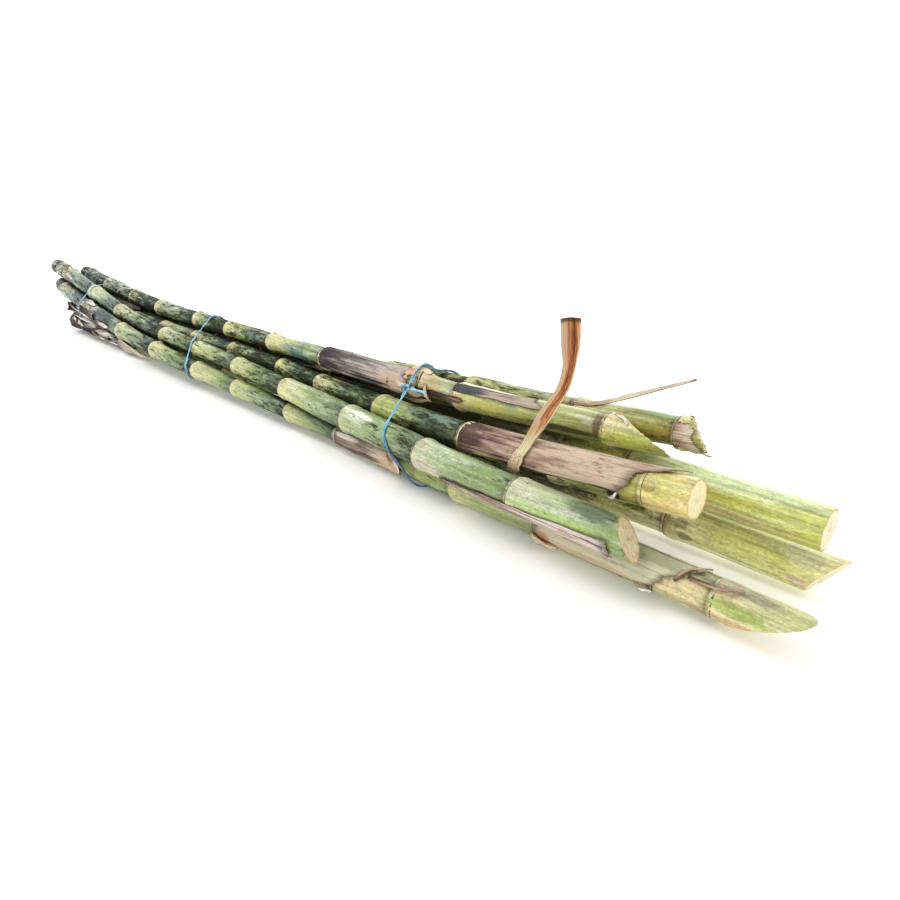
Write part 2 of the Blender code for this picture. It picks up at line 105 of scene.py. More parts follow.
# course is the centre (y, z) in millimetres at the stations, rings are the leaf scars, cut is
# the lean of the top cut and the way it faces, bud the angle of the last bud. faint are the rings
# that barely show, and lumps are swellings: X, angle, half length, half angle and height
CANES = {
    "cane_a": {
        "course": ((10, 80), (-35, 45), (-35, 25), (-35, 20), (-45, 20)), "butt": -0.905, "tip": 0.85,
        "top_radius": 0.0185, "swell_at": (0.25, 0.45),
        "rings": (-0.86, -0.68, -0.46, -0.30, -0.14, -0.01, 0.14, 0.26, 0.49, 0.62, 0.755, 0.81),
        "cut": (65, 280), "skins": ((-0.70, -0.56), (0.26, 0.42), (0.61, 0.84)), "bud": 60,
        "faint": (0.755, 0.81)},
    "cane_b": {
        "course": ((20, 110), (-5, 60), (-20, 55), (-50, 50), (-80, 65)), "butt": -0.955, "tip": 0.735,
        "top_radius": 0.0180, "swell_at": (0.05, 0.25),
        "rings": (-0.92, -0.87, -0.70, -0.535, -0.315, -0.175, -0.03, 0.125, 0.295, 0.45, 0.60),
        "cut": (35, 60), "skins": ((0.50, 0.76),), "bud": 300},
    "cane_c": {
        "course": ((35, 55), (25, 50), (20, 60), (-10, 65), (-40, 105)), "butt": -0.88, "tip": 0.775,
        "top_radius": 0.0185, "swell_at": (0.15, 0.35),
        "rings": (-0.80, -0.67, -0.53, -0.39, -0.255, -0.115, 0.045, 0.16, 0.315, 0.485, 0.62, 0.73),
        "cut": (5, 330), "skins": ((0.48, 0.775),), "bud": 150, "faint": (0.73,)},
    "cane_d": {
        "course": ((40, 20), (40, 20), (60, 40), (65, 60), (50, 70)), "butt": -0.79, "tip": 0.86,
        "top_radius": 0.0205, "swell_at": (0.10, 0.35),
        "rings": (-0.74, -0.60, -0.45, -0.31, -0.16, -0.02, 0.12, 0.28, 0.45, 0.66), "cut": (3, 330),
        "skins": ((-0.80, -0.60),), "bud": 330},
    "cane_e": {
        "course": ((-25, 20), (-15, 20), (20, 20), (55, 25), (58, 22)), "butt": -0.75, "tip": 0.865,
        "top_radius": 0.0200, "swell_at": (0.10, 0.35),
        "rings": (-0.70, -0.57, -0.42, -0.27, -0.12, 0.03, 0.18, 0.34, 0.52, 0.71), "cut": (35, 245),
        "skins": ((-0.76, -0.52),), "bud": 20},
    "cane_f": {
        "course": ((70, 100), (50, 80), (35, 90), (25, 100), (45, 120)), "butt": -0.90, "tip": 0.68,
        "top_radius": 0.0158, "swell_at": (0.05, 0.20),
        "rings": (-0.87, -0.745, -0.59, -0.45, -0.275, -0.15, -0.005, 0.155, 0.375, 0.435, 0.64),
        "cut": (65, 55), "skins": ((0.14, 0.60),), "bud": 80,
        "lumps": ((0.366, 84, 0.014, 46, 0.0075), (0.349, 118, 0.009, 40, 0.0016))},
    "cane_g": {
        "course": ((65, 45), (55, 50), (55, 70), (55, 95), (75, 120)), "butt": -0.85, "tip": 0.72,
        "top_radius": 0.0163, "swell_at": (0.05, 0.20),
        "rings": (-0.79, -0.66, -0.52, -0.37, -0.22, -0.06, 0.10, 0.26, 0.42, 0.58, 0.70), "cut": (35, 45),
        "skins": ((0.66, 0.76),), "bud": 200},
}
# How sooty, teal, waxy with painted sheen, and tan each stalk is, and its tones towards the top
LOOKS = {
    "cane_a": {
        "soot": 0.35, "soot_to": 0.8, "clean_from": (0.82, 0.88), "grime_to": -0.50, "teal": 0.20,
        "wax_and_sheen": 0.45, "growth": 0.2, "tan": 0.6, "top_from": (0.80, 0.90),
        "top": ((0.0, (232, 214, 160)), (0.35, (206, 208, 142)),
                (0.7, (182, 192, 122)), (1.0, (150, 150, 96)))},
    "cane_b": {
        "soot": 0.45, "soot_to": 0.9, "clean_from": (0.95, 1.0), "grime_to": -0.74, "teal": 0.15,
        "wax_and_sheen": 0.65, "growth": 0.1, "tan": 0.4, "top_from": (0.60, 0.76),
        "top": ((0.0, (206, 210, 172)), (0.35, (164, 184, 126)),
                (0.7, (142, 166, 100)), (1.0, (112, 132, 84)))},
    "cane_c": {
        "soot": 0.85, "soot_to": 1.6, "clean_from": (0.88, 0.92), "grime_to": -0.60, "teal": 0.60,
        "wax_and_sheen": 0.35, "growth": 0.1, "tan": 0.5, "top_from": (0.88, 0.93),
        "top": ((0.0, (226, 206, 140)), (0.35, (214, 200, 110)),
                (0.7, (206, 196, 96)), (1.0, (192, 182, 92)))},
    "cane_d": {
        "soot": 0.05, "soot_to": 0.5, "clean_from": (0.6, 0.8), "teal": 0.0, "wax_and_sheen": 0.50, "growth": 0.1,
        "tan": 0.3, "top_from": (0.50, 0.70),
        "top": ((0.0, (222, 222, 150)), (0.35, (212, 216, 124)),
                (0.7, (204, 206, 92)), (1.0, (214, 200, 120)))},
    "cane_e": {
        "soot": 0.10, "soot_to": 0.6, "clean_from": (0.6, 0.8), "grime_to": -0.38, "teal": 0.0, "wax_and_sheen": 0.45,
        "growth": 0.1, "tan": 0.3, "top_from": (0.50, 0.70),
        "top": ((0.0, (238, 228, 170)), (0.35, (232, 228, 148)),
                (0.7, (226, 222, 132)), (1.0, (226, 216, 176)))},
    "cane_f": {
        "soot": 0.90, "soot_to": 0.7, "clean_from": (0.70, 0.78), "grime_to": -0.62, "teal": 0.85,
        "wax_and_sheen": 0.60, "growth": 0.2, "tan": 0.7, "top_from": (0.64, 0.76),
        "top": ((0.0, (238, 216, 160)), (0.3, (212, 212, 120)),
                (0.6, (190, 196, 108)), (1.0, (160, 168, 92)))},
    "cane_g": {
        "soot": 0.80, "soot_to": 1.2, "clean_from": (0.78, 0.86), "teal": 0.30, "wax_and_sheen": 0.40, "growth": 0.2,
        "tan": 0.5, "top_from": (0.60, 0.76),
        "top": ((0.0, (216, 210, 150)), (0.35, (190, 192, 112)),
                (0.7, (176, 176, 82)), (1.0, (150, 142, 70)))},
}
# Marks on the stalks: X, angle, half length, half angle, colour and strength
CANE_MARKS = {
    "cane_a": (
        (0.785, 170, 0.026, 60, (226, 204, 154), 0.8), (0.835, 160, 0.030, 24, (172, 194, 96), 0.9),
        (0.835, 205, 0.045, 20, (222, 186, 128), 0.85), (0.825, 100, 0.045, 28, (158, 154, 124), 0.85),
        (0.72, 225, 0.060, 24, (180, 200, 84), 0.9), (0.44, 190, 0.060, 50, (186, 196, 112), 0.7),
        (-0.545, 130, 0.060, 70, (30, 38, 58), 0.85), (-0.600, 205, 0.030, 22, (202, 202, 194), 0.8),
        (-0.560, 215, 0.022, 18, (206, 204, 196), 0.8)),
    "cane_b": (
        (-0.945, 140, 0.016, 110, (178, 186, 192), 0.85), (-0.920, 120, 0.012, 60, (52, 58, 92), 0.8),
        # The dark mark at -0.83 under cane_b is painted shadow between it and cane_a; the white mark at 0.33
        # on its upper side is partly wax and partly painted highlight
        (-0.83, 195, 0.050, 30, (38, 34, 32), 0.85), (0.33, 118, 0.035, 22, (236, 240, 226), 0.85),
        (0.47, 200, 0.020, 40, (208, 190, 168), 0.7), (0.70, 110, 0.035, 40, (74, 86, 66), 0.75),
        (0.66, 175, 0.070, 18, (168, 200, 112), 0.8)),
    "cane_c": (
        (0.35, 160, 0.040, 90, (190, 204, 112), 0.9), (0.44, 185, 0.050, 50, (62, 70, 32), 0.8),
        (0.44, 112, 0.055, 34, (116, 156, 140), 0.85), (0.702, 203, 0.007, 16, (58, 32, 22), 1.0),
        (0.74, 140, 0.030, 60, (214, 206, 104), 0.7)),
    "cane_d": (
        # The large near-black mark at 0.30 on cane_d is painted shade, where it lies in the gap between
        # cane_c and cane_b
        (0.30, 140, 0.320, 110, (30, 26, 12), 0.88), (0.78, 108, 0.100, 30, (204, 222, 168), 0.75),
        (0.74, 160, 0.110, 14, (204, 204, 80), 0.85), (0.76, 200, 0.110, 20, (226, 210, 148), 0.8)),
    "cane_e": (
        # The large near-black mark at 0.42 on cane_e is painted shade, where it lies in the gap between
        # cane_c and cane_b
        (0.42, 130, 0.300, 110, (28, 24, 12), 0.92), (-0.54, 170, 0.130, 120, (62, 58, 46), 0.85),
        (-0.48, 190, 0.060, 30, (168, 156, 134), 0.8), (0.845, 120, 0.022, 34, (236, 232, 196), 0.9),
        (0.846, 198, 0.010, 20, (222, 196, 172), 0.9), (0.785, 215, 0.040, 7, (244, 244, 232), 0.95),
        (0.735, 196, 0.010, 16, (84, 72, 36), 0.6), (0.712, 150, 0.006, 90, (168, 112, 70), 0.6),
        (0.80, 150, 0.050, 22, (206, 204, 96), 0.7)),
    "cane_f": (
        (0.362, 98, 0.022, 64, (230, 206, 164), 1.0), (0.425, 182, 0.034, 9, (64, 42, 38), 1.0),
        # The dark mark at 0.405 and 215 degrees on cane_f is painted shade below its brown strip
        (0.665, 190, 0.030, 36, (204, 214, 84), 0.75), (0.405, 215, 0.040, 26, (34, 32, 16), 0.9),
        (0.585, 200, 0.060, 16, (60, 58, 24), 0.8), (0.40, 110, 0.030, 30, (214, 196, 168), 0.7),
        (0.634, 130, 0.006, 90, (120, 84, 58), 0.8), (-0.88, 100, 0.020, 60, (188, 190, 194), 0.7),
        # The near-black mark at -0.70 under cane_f is painted shadow between it and cane_b
        (-0.845, 140, 0.030, 60, (36, 54, 104), 0.8), (-0.70, 215, 0.240, 40, (22, 24, 22), 0.9),
        # The white line at 0.48 along the top of cane_f is partly wax and partly painted highlight
        (0.40, 140, 0.020, 60, (198, 184, 120), 0.8), (0.48, 95, 0.050, 14, (238, 240, 214), 0.85),
        (0.50, 190, 0.060, 40, (196, 196, 88), 0.7)),
    "cane_g": (
        (0.68, 85, 0.028, 40, (130, 176, 110), 0.85), (0.66, 190, 0.050, 30, (170, 150, 60), 0.7)),
}

# Settling of the stalks against each other, as in the solids
SAMPLE_STEP = 0.02
SAMPLE_FROM = -0.98
SAMPLE_COUNT = 97
SMOOTH_ROUNDS = 240
PUSH_ROUNDS = 400
PULL = 0.04
STIFFNESS = 0.35
END_MARGIN = 0.05
TILT_ALLOWANCE = 1.006

# Fineness of a stalk's mesh
SIDES = 64
STEP_FAR = 0.0050
STEP_NEAR = 0.0026
STEP_AT_RING = 0.0011
END_ROWS = 22
BUTT_ROWS = 5
ROWS_FROM = 0.012
ROWS_SHORT = 0.006
SLANT_SHARE = 0.62
NEAR_FROM = -0.2
NEAR_LENGTH = 0.7
RING_ROOM = 0.016
FAR_RING_STEP = 0.0007
CAP_LOOPS = 9
CAP_ROUGH = 0.00035
SHARP_ANGLE = 50
# Shift between the stalks' patterns, and the places along X where age is 0 and 1
PATTERN_SHIFT = 3.0
AGE_FROM = -0.95
AGE_LENGTH = 1.8
GRIME_TO = -0.70
GRIME_FADE = 0.08
RING_BEFORE = 0.06
RING_AFTER = 0.10
# Reach and strength of the shade between stalks: places along X, then values
CROWD_REACH = ((0.45, 0.70), (0.0070, 0.0030))
CROWD_STRENGTH = ((0.55, 0.75), (1.0, 0.35))

# Dry sheaths: stalk, start and end along X, middle angle, span, raggedness, extra length at
# the first angle and at the last one, then the place of its colours between dark 0 and pale 1
SHEATHS = {
    "sheath_a_mid": ("cane_a", 0.265, 0.405, 185, 105, 0.010, 0.0, 0.0, 0.35),
    "sheath_a_top": ("cane_a", 0.62, 0.765, 155, 130, 0.006, 0.035, -0.008, 0.85),
    "sheath_b_strip": ("cane_b", 0.52, 0.725, 222, 54, 0.004, 0.0, 0.0, 0.55),
    "sheath_c": ("cane_c", 0.49, 0.72, 132, 140, 0.008, 0.050, -0.012, 0.60),
    "sheath_f": ("cane_f", 0.16, 0.35, 140, 150, 0.010, 0.0, 0.020, 0.25),
    "sheath_f_strip": ("cane_f", 0.435, 0.56, 125, 40, 0.010, 0.0, 0.020, 0.55),
    "sheath_g_tip": ("cane_g", 0.70, 0.72, 190, 120, 0.008, 0.0, 0.022, 0.70),
    "sheath_butt_d": ("cane_d", -0.785, -0.620, 200, 150, 0.012, 0.0, 0.0, 0.05),
    "sheath_butt_e": ("cane_e", -0.745, -0.540, 150, 120, 0.014, 0.0, 0.0, 0.05),
    "sheath_butt_a": ("cane_a", -0.68, -0.575, 205, 110, 0.010, 0.0, 0.0, 0.10),
}
# Thin skins that only the looks have, in the same order of values
LOOSE_SHEATHS = {
    "skin_b_upper": ("cane_b", 0.500, 0.728, 209, 16, 0.004, 0.0, 0.004, 0.45),
    "skin_f_under": ("cane_f", 0.372, 0.458, 176, 22, 0.012, 0.0, 0.0, 0.20),
    "skin_f_tail": ("cane_f", 0.318, 0.385, 196, 66, 0.012, 0.0, 0.0, 0.55),
}
# Degrees by which the first and the last side draw in over a sheath's length
SHEATH_TAPERS = {"sheath_a_top": (0.0, 16.0), "skin_b_upper": (-26.0, 0.0), "sheath_c": (0.0, 14.0)}
SHEATH_OFFSET = 2.0
# Dark, middle and pale colours of the sheaths
SHEATH_COLOURS = {
    "sheath_a_mid": ((84, 66, 62), (150, 128, 116), (206, 188, 162)),
    "sheath_a_top": ((140, 108, 78), (190, 172, 144), (206, 200, 168)),
    "sheath_b_strip": ((104, 80, 74), (184, 156, 146), (214, 198, 186)),
    "skin_b_upper": ((98, 74, 66), (180, 150, 138), (220, 206, 194)),
    "skin_f_under": ((50, 32, 30), (98, 70, 62), (176, 150, 128)),
    "skin_f_tail": ((88, 70, 62), (172, 150, 132), (214, 196, 172)),
    "sheath_c": ((78, 46, 42), (154, 122, 108), (200, 178, 152)),
    "sheath_f": ((56, 50, 52), (146, 134, 126), (206, 192, 180)),
    "sheath_f_strip": ((84, 70, 64), (156, 138, 124), (190, 174, 158)),
    "sheath_g_tip": ((104, 74, 62), (176, 142, 122), (222, 204, 186)),
    "sheath_butt_d": ((24, 22, 20), (92, 86, 78), (206, 200, 190)),
    "sheath_butt_e": ((24, 22, 20), (92, 86, 78), (206, 200, 190)),
    "sheath_butt_a": ((40, 36, 30), (96, 88, 76), (176, 168, 154)),
}
# Marks on the sheaths: X, angle, half length, half angle, colour and strength
SHEATH_MARKS = {
    "sheath_f_strip": (
        (0.455, 125, 0.036, 40, (56, 68, 78), 0.85),),
    "sheath_c": (
        # The dark mark at 0.62 along the lower edge of sheath_c is painted shade
        (0.54, 194, 0.024, 5, (176, 184, 62), 1.0), (0.62, 200, 0.090, 12, (62, 44, 32), 0.85),
        (0.50, 140, 0.030, 60, (88, 56, 52), 0.8), (0.69, 190, 0.020, 8, (40, 26, 20), 0.9)),
    "sheath_a_top": (
        (0.70, 206, 0.085, 20, (198, 172, 132), 0.7), (0.72, 108, 0.090, 34, (160, 164, 128), 0.85),
        (0.748, 200, 0.012, 14, (122, 88, 66), 0.6), (0.632, 195, 0.010, 22, (190, 132, 78), 0.8)),
    "sheath_f": (
        (0.325, 170, 0.030, 40, (206, 178, 148), 0.7), (0.20, 120, 0.045, 36, (58, 52, 58), 0.7),
        (0.27, 196, 0.060, 8, (36, 30, 26), 0.9)),
    "sheath_a_mid": (
        # The white mark at 0.29 on the upper side of sheath_a_mid is a painted highlight
        (0.29, 150, 0.030, 16, (232, 224, 206), 0.85), (0.385, 190, 0.022, 50, (208, 172, 136), 0.85),
        (0.33, 205, 0.030, 20, (84, 70, 66), 0.7)),
}
SHEATH_ROWS = 90
SHEATH_COLUMN_ANGLE = 3.0
SHEATH_THICKNESS = 0.0006
FLARE = 0.0016
FLARE_FROM = 0.8
LOOSE_LIFT = 0.0002
CREASE = 0.00022
CURL = 0.0009
CURL_FROM = 0.85
FRAY = 0.0028

# Loose dry pieces: points over stalks, then free points, with widths and cups in turn
STRIPS = {
    "leaf_upright": {
        "on_canes": (("cane_c", 0.572, 222, 0.003), ("cane_c", 0.578, 200, 0.003),
                     ("cane_c", 0.584, 178, 0.003), ("cane_c", 0.588, 155, 0.003),
                     ("cane_c", 0.592, 130, 0.003)),
        "free": ((0.598, -0.019, 0.131), (0.606, -0.005, 0.156), (0.608, 0.001, 0.185),
                 (0.606, 0.001, 0.228)),
        "widths": (0.013, 0.014, 0.014, 0.014, 0.014, 0.013, 0.013, 0.015, 0.020),
        "cups": (0.0, 0.0, 0.0, 0.0, 0.1, 0.3, 0.5, 0.6, 0.7),
        "face": (0.45, -0.80, 0.40)},
    "leaf_rib": {
        "on_canes": (("cane_g", 0.575, 125, 0.0002), ("cane_g", 0.600, 122, 0.0002)),
        "free": ((0.628, 0.068, 0.132), (0.662, 0.089, 0.146), (0.695, 0.105, 0.160)),
        "widths": (0.006, 0.006, 0.006, 0.005, 0.003),
        "cups": (0.0, 0.0, 0.2, 0.3, 0.2),
        "face": (0.2, -0.6, 0.75)},
}
STRIP_THICKNESS = 0.0009
STRIP_AIM = 0.01
STRIP_PATTERN = 0.18
SCRAP_PATTERN = 0.08

# Loose scraps: name, stalk, kind, cup, widths, then points as X, angle and lift
SCRAPS = (
    ("rag_f_upper", "cane_f", "tan", -0.4, (0.002, 0.010, 0.007, 0.001),
     ((0.324, 178, -0.0040), (0.342, 172, 0.0030), (0.362, 176, 0.0040), (0.380, 186, 0.0030))),
    ("knob_f_outer", "cane_f", "knob", -0.75, (0.010, 0.018, 0.020, 0.010),
     ((0.347, 92, 0.0010), (0.356, 88, 0.0074), (0.371, 84, 0.0086), (0.386, 82, 0.0020))),
    ("knob_f_inner", "cane_f", "knob", -0.6, (0.008, 0.016, 0.015, 0.006),
     ((0.346, 120, 0.0010), (0.353, 114, 0.0056), (0.366, 108, 0.0056), (0.378, 104, 0.0010))),
    ("rag_f_lower", "cane_f", "tan", 0.5, (0.003, 0.007, 0.006, 0.001),
     ((0.389, 146, 0.0012), (0.394, 168, 0.0030), (0.398, 192, 0.0036), (0.399, 214, 0.0030))),
    ("rag_f_under", "cane_f", "brown", 0.4, (0.008, 0.011, 0.007, 0.001),
     ((0.340, 226, 0.0020), (0.362, 222, 0.0040), (0.384, 214, 0.0040), (0.402, 206, 0.0020))),
    ("gap_fill", "cane_g", "dark", 0.3, (0.016, 0.028, 0.028, 0.012),
     ((-0.760, 122, 0.004), (-0.700, 126, 0.008), (-0.620, 126, 0.008), (-0.550, 122, 0.002))),
    ("butt_flake_0", "cane_e", "pale", 0.4, (0.003, 0.008, 0.003),
     ((-0.728, 130, 0.003), (-0.715, 140, 0.006), (-0.700, 152, 0.004))),
    ("butt_flake_1", "cane_e", "pale", 0.4, (0.003, 0.009, 0.003),
     ((-0.690, 142, 0.005), (-0.674, 154, 0.007), (-0.656, 168, 0.005))),
    ("flap_e", "cane_e", "pale", 0.4, (0.014, 0.023, 0.017, 0.002),
     ((-0.490, 172, 0.0020), (-0.450, 188, 0.0050), (-0.405, 202, 0.0070), (-0.365, 214, 0.0080))),
    ("fold_a_top", "cane_a", "tan", 0.5, (0.008, 0.012, 0.010, 0.004),
     ((0.616, 196, 0.0004), (0.624, 206, 0.0020), (0.636, 212, 0.0020), (0.648, 216, 0.0006))),
    ("butt_fill_0", "cane_a", "dark", 0.3, (0.016, 0.028, 0.028, 0.014),
     ((-0.800, 240, 0.003), (-0.77, 248, 0.010), (-0.74, 244, 0.008), (-0.66, 236, 0.002))),
    ("butt_fill_1", "cane_a", "mottled", -0.4, (0.010, 0.020, 0.018, 0.010),
     ((-0.80, 226, 0.002), (-0.77, 232, 0.006), (-0.71, 228, 0.006), (-0.62, 220, 0.001))),
    ("butt_fill_2", "cane_e", "mottled", 0.4, (0.014, 0.024, 0.022, 0.012),
     ((-0.748, 120, 0.001), (-0.72, 114, 0.006), (-0.67, 118, 0.008), (-0.60, 124, 0.001))),
    ("butt_fill_3", "cane_e", "dark", -0.3, (0.010, 0.018, 0.016, 0.008),
     ((-0.748, 160, 0.001), (-0.71, 156, 0.004), (-0.66, 150, 0.004), (-0.60, 146, 0.001))),
    ("butt_fill_4", "cane_c", "dark", 0.3, (0.014, 0.030, 0.030, 0.014),
     ((-0.82, 236, 0.002), (-0.78, 240, 0.009), (-0.74, 236, 0.010), (-0.66, 230, 0.003))),
    ("hem_a_mid", "cane_a", "tan", 0.5, (0.006, 0.012, 0.010, 0.005),
     ((0.380, 150, 0.0010), (0.396, 165, 0.0034), (0.404, 185, 0.0034), (0.398, 205, 0.0012))),
    ("fibre_a_short", "cane_a", "brown", 0.3, (0.0035, 0.0032, 0.0026),
     ((0.776, 150, 0.0012), (0.786, 108, 0.0028), (0.797, 62, 0.0012))),
    ("fibre_a_long", "cane_a", "brown", 0.3, (0.0034, 0.0034, 0.0036, 0.0020),
     ((0.786, 128, 0.0012), (0.806, 128, 0.0030), (0.822, 122, 0.0034), (0.832, 104, 0.0014))),
    ("torn_edge_a", "cane_a", "white", 0.4, (0.003, 0.005, 0.003),
     ((0.738, 216, 0.0008), (0.748, 212, 0.0022), (0.757, 208, 0.0010))),
    ("torn_edge_c", "cane_c", "white", 0.4, (0.003, 0.004, 0.002),
     ((0.694, 212, 0.0010), (0.704, 200, 0.0034), (0.708, 186, 0.0020))),
    ("torn_edge_f", "cane_f", "white", 0.2, (0.002, 0.003, 0.002),
     ((0.648, 92, 0.0006), (0.660, 112, 0.0010), (0.668, 132, 0.0008))),
    ("string_f", "cane_f", "white", 0.2, (0.0020, 0.0024, 0.0020),
     ((-0.655, 175, 0.0010), (-0.625, 130, 0.0030), (-0.595, 100, 0.0010))),
)
# Dark, middle and pale colours of each kind of scrap, then its balance between them
SCRAP_COLOURS = {
    "tan": (((150, 116, 84), (208, 184, 150), (234, 220, 194)), 0.6),
    "pale": (((132, 118, 102), (204, 188, 168), (232, 222, 206)), 0.55),
    "knob": (((132, 92, 58), (208, 168, 122), (232, 208, 166)), 0.55),
    "white": (((190, 178, 160), (232, 226, 214), (246, 244, 238)), 0.8),
    "brown": (((92, 66, 50), (166, 134, 110), (206, 182, 152)), 0.5),
    "dark": (((26, 24, 20), (84, 76, 66), (170, 162, 150)), 0.3),
    "mottled": (((34, 30, 26), (150, 142, 132), (232, 228, 222)), 0.6),
}
SCRAP_COLUMNS = 8
SCRAP_ROWS = 40
SCRAP_AIM = 0.02
SCRAP_THICKNESS = 0.0005
# Small debris at the butts, drawn at random
DEBRIS_COUNT = 30
DEBRIS_CANES = ("cane_e", "cane_e", "cane_e", "cane_a", "cane_d", "cane_c")
DEBRIS_KINDS = ("dark", "mottled", "mottled", "brown")
DEBRIS_PLACES = (-0.76, -0.46)
DEBRIS_ANGLES = (100, 225)
DEBRIS_LENGTHS = (0.05, 0.10)
DEBRIS_TURNS = (-40, 40)
DEBRIS_WIDTHS = (0.005, 0.013)
DEBRIS_CUPS = (-0.6, 0.6)
DEBRIS_LIFT = 0.0010
DEBRIS_ARCH = 0.0024

# Twine: the way round as (angle round the bundle, X), radius, the knot's angle, and where it is
# raised, as angle, half angle and height
TIES = {
    "tie_near": {
        "way": ((0, 0.400), (80, 0.370), (120, 0.365), (150, 0.350), (175, 0.390), (190, 0.410),
                (230, 0.435), (300, 0.425), (360, 0.400)),
        "radius": 0.0014, "knot": 130, "raised": (93, 11, 0.0080)},
    "tie_far": {
        "way": ((0, -0.190), (80, -0.205), (100, -0.210), (155, -0.180), (190, -0.145),
                (230, -0.140), (300, -0.170), (360, -0.190)),
        "radius": 0.0014, "knot": None},
    "tie_butt": {
        "way": ((0, -0.690), (90, -0.690), (180, -0.670), (270, -0.680), (360, -0.690)),
        "radius": 0.0010, "knot": None},
}
TIE_CENTRE_OF = ("cane_c", "cane_d")
CIRCLE_STEP = 15
TIE_CHORD_ALLOWANCE = 0.0003
TIE_END_MARGIN = 0.02
TWINE_SIDES = 20
TWINE_STEP = 0.0014
STRAND_WIDTH = 2.9
STRAND_THICKNESS = 0.9
STRAND_TURNS = 9
FIBRE_TURNS = 40
# Where the twine spreads, in degrees before the knot, over how many degrees and how much
SPREAD = (50, 32, 1.1)
# Tails of the knot: which way, name and length
TAILS = ((1, "long", 0.030), (-1, "short", 0.016))
TAIL_SIZE = (0.0036, 0.0009)
TAIL_FIBRES = 25
TAIL_LIFT = 0.0016
TAIL_SAG = 0.003
TAIL_WAVE = 0.002
KNOT_SIZE = (0.0044, 0.0028)
KNOT_FIBRES = 90
KNOT_LIFT = 0.0024
KNOT_SWING = (0.0018, 0.0042, 0.0060)

# Stage: floor, sky and lamps, which are placed as name, place, size and power
FLOOR_SIZE = 60
FLOOR_DROP = 0.0004
SKY = 0.86
LAMPS = (("key", (-0.6, -1.0, 2.6), 1.2, 18.0), ("back", (-0.4, 2.6, 1.5), 2.4, 32.0))
LAMP_AIM = Vector((0.2, 0, 0))

# Pith, rind at the edge and stain of each cut face
FLESH_COLOURS = {
    "cane_a": ((224, 208, 160), (206, 178, 120), (206, 186, 140)),
    "cane_b": ((222, 210, 178), (206, 168, 120), (196, 178, 144)),
    "cane_c": ((250, 240, 198), (216, 190, 132), (238, 222, 172)),
    "cane_d": ((250, 238, 204), (206, 176, 124), (236, 214, 162)),
    "cane_e": ((236, 234, 204), (220, 178, 96), (216, 206, 160)),
    "cane_f": ((236, 232, 196), (190, 176, 110), (214, 206, 150)),
    "cane_g": ((220, 204, 166), (150, 120, 80), (196, 176, 130)),
}
# Deep and light colours of the twines, and how dusty they are
TWINE_COLOURS = {
    "blue": ((52, 116, 160), (132, 190, 214), 0.40),
    "pale": ((96, 132, 150), (168, 192, 200), 0.7),
    "deep": ((26, 48, 78), (84, 122, 150), 0.25),
}
TWINE_GLOW = 0.16


def smooth_step(t):
    t = np.clip(t, 0.0, 1.0)
    return t * t * (3 - 2 * t)


def hump(distance, reach):
    """1 at distance 0, falling off to 0 beyond the reach."""
    return np.exp(-((distance / reach) ** 2))


def natural_spline(knots, values, at):
    """Natural cubic spline through the knots."""
    knots = np.asarray(knots, float)
    values = np.asarray(values, float)
    spans = np.diff(knots)
    count = len(knots)
    matrix = np.eye(count)
    side = np.zeros(count)
    for i in range(1, count - 1):
        matrix[i, i - 1] = spans[i - 1]
        matrix[i, i] = 2 * (spans[i - 1] + spans[i])
        matrix[i, i + 1] = spans[i]
        rise = (values[i + 1] - values[i]) / spans[i] - (values[i] - values[i - 1]) / spans[i - 1]
        side[i] = 6 * rise
    bend = np.linalg.solve(matrix, side)
    at = np.asarray(at, float)
    k = np.clip(np.searchsorted(knots, at) - 1, 0, count - 2)
    a = knots[k + 1] - at
    b = at - knots[k]
    h = spans[k]
    cubic = (bend[k] * a**3 + bend[k + 1] * b**3) / (6 * h)
    return cubic + (values[k] / h - bend[k] * h / 6) * a + (values[k + 1] / h - bend[k + 1] * h / 6) * b


def body_radius(cane, x):
    """Radius between the nodes: thick at the butt, slim in the middle, thick in the top."""
    x = np.asarray(x, float)
    lower = BUTT_RADIUS + (WAIST_RADIUS - BUTT_RADIUS) * np.clip((x - TAPER_FROM) / TAPER_LENGTH, 0, 1)
    start, end = cane["swell_at"]
    blend = smooth_step((x - start) / (end - start))
    return lower * (1 - blend) + cane["top_radius"] * blend


def node_relief(cane, x):
    """Height of the scar ridge and the root band above the body, at x."""
    relief = 0.0
    for ring in cane["rings"]:
        d = x - ring
        if abs(d) < RIDGE_REACH:
            relief = max(relief, RIDGE * (1 - abs(d) / RIDGE_REACH))
        if 0 <= d < BAND_LENGTH:
            swell = BAND_EDGE + (1 - BAND_EDGE) * math.sin(math.pi * d / BAND_LENGTH)
            relief = max(relief, BAND_SWELL * swell)
        if -NECK_LENGTH < d < 0 and relief <= 0:
            relief = -NECK * (1 + d / NECK_LENGTH)
    return relief


def girth(cane, x):
    return float(body_radius(cane, x)) + node_relief(cane, x)


def envelope(cane, x):
    """Largest radius near x, with any dry skin, as its neighbours and the twine meet it."""
    near = [x + step * RING_STEP for step in range(-4, 5)]
    radius = max(girth(cane, place) for place in near)
    for start, end in cane["skins"]:
        if start - SKIN_MARGIN < x < end + SKIN_MARGIN:
            radius = max(radius, float(body_radius(cane, x)) + SKIN_REACH)
    return radius


def cane_places(cane):
    """Places along X where the solids have a section."""
    places = {cane["butt"] - BUTT_ROOM, cane["tip"] + TIP_ROOM}
    rings = list(cane["rings"]) + [cane["tip"] + TIP_ROOM]
    for ring, following in zip(rings, rings[1:]):
        for step in (-RING_STEP, 0.0, RING_STEP, BAND_LENGTH):
            places.add(ring + step)
        spans = math.ceil((following - ring) / LONGEST_SPAN)
        for k in range(1, spans):
            places.add(ring + BAND_LENGTH + (following - ring - BAND_LENGTH) * k / spans)
    ordered = sorted(places)
    kept = [ordered[0]]
    for place in ordered[1:]:
        if place - kept[-1] > CLOSEST_PLACES:
            kept.append(place)
    return kept


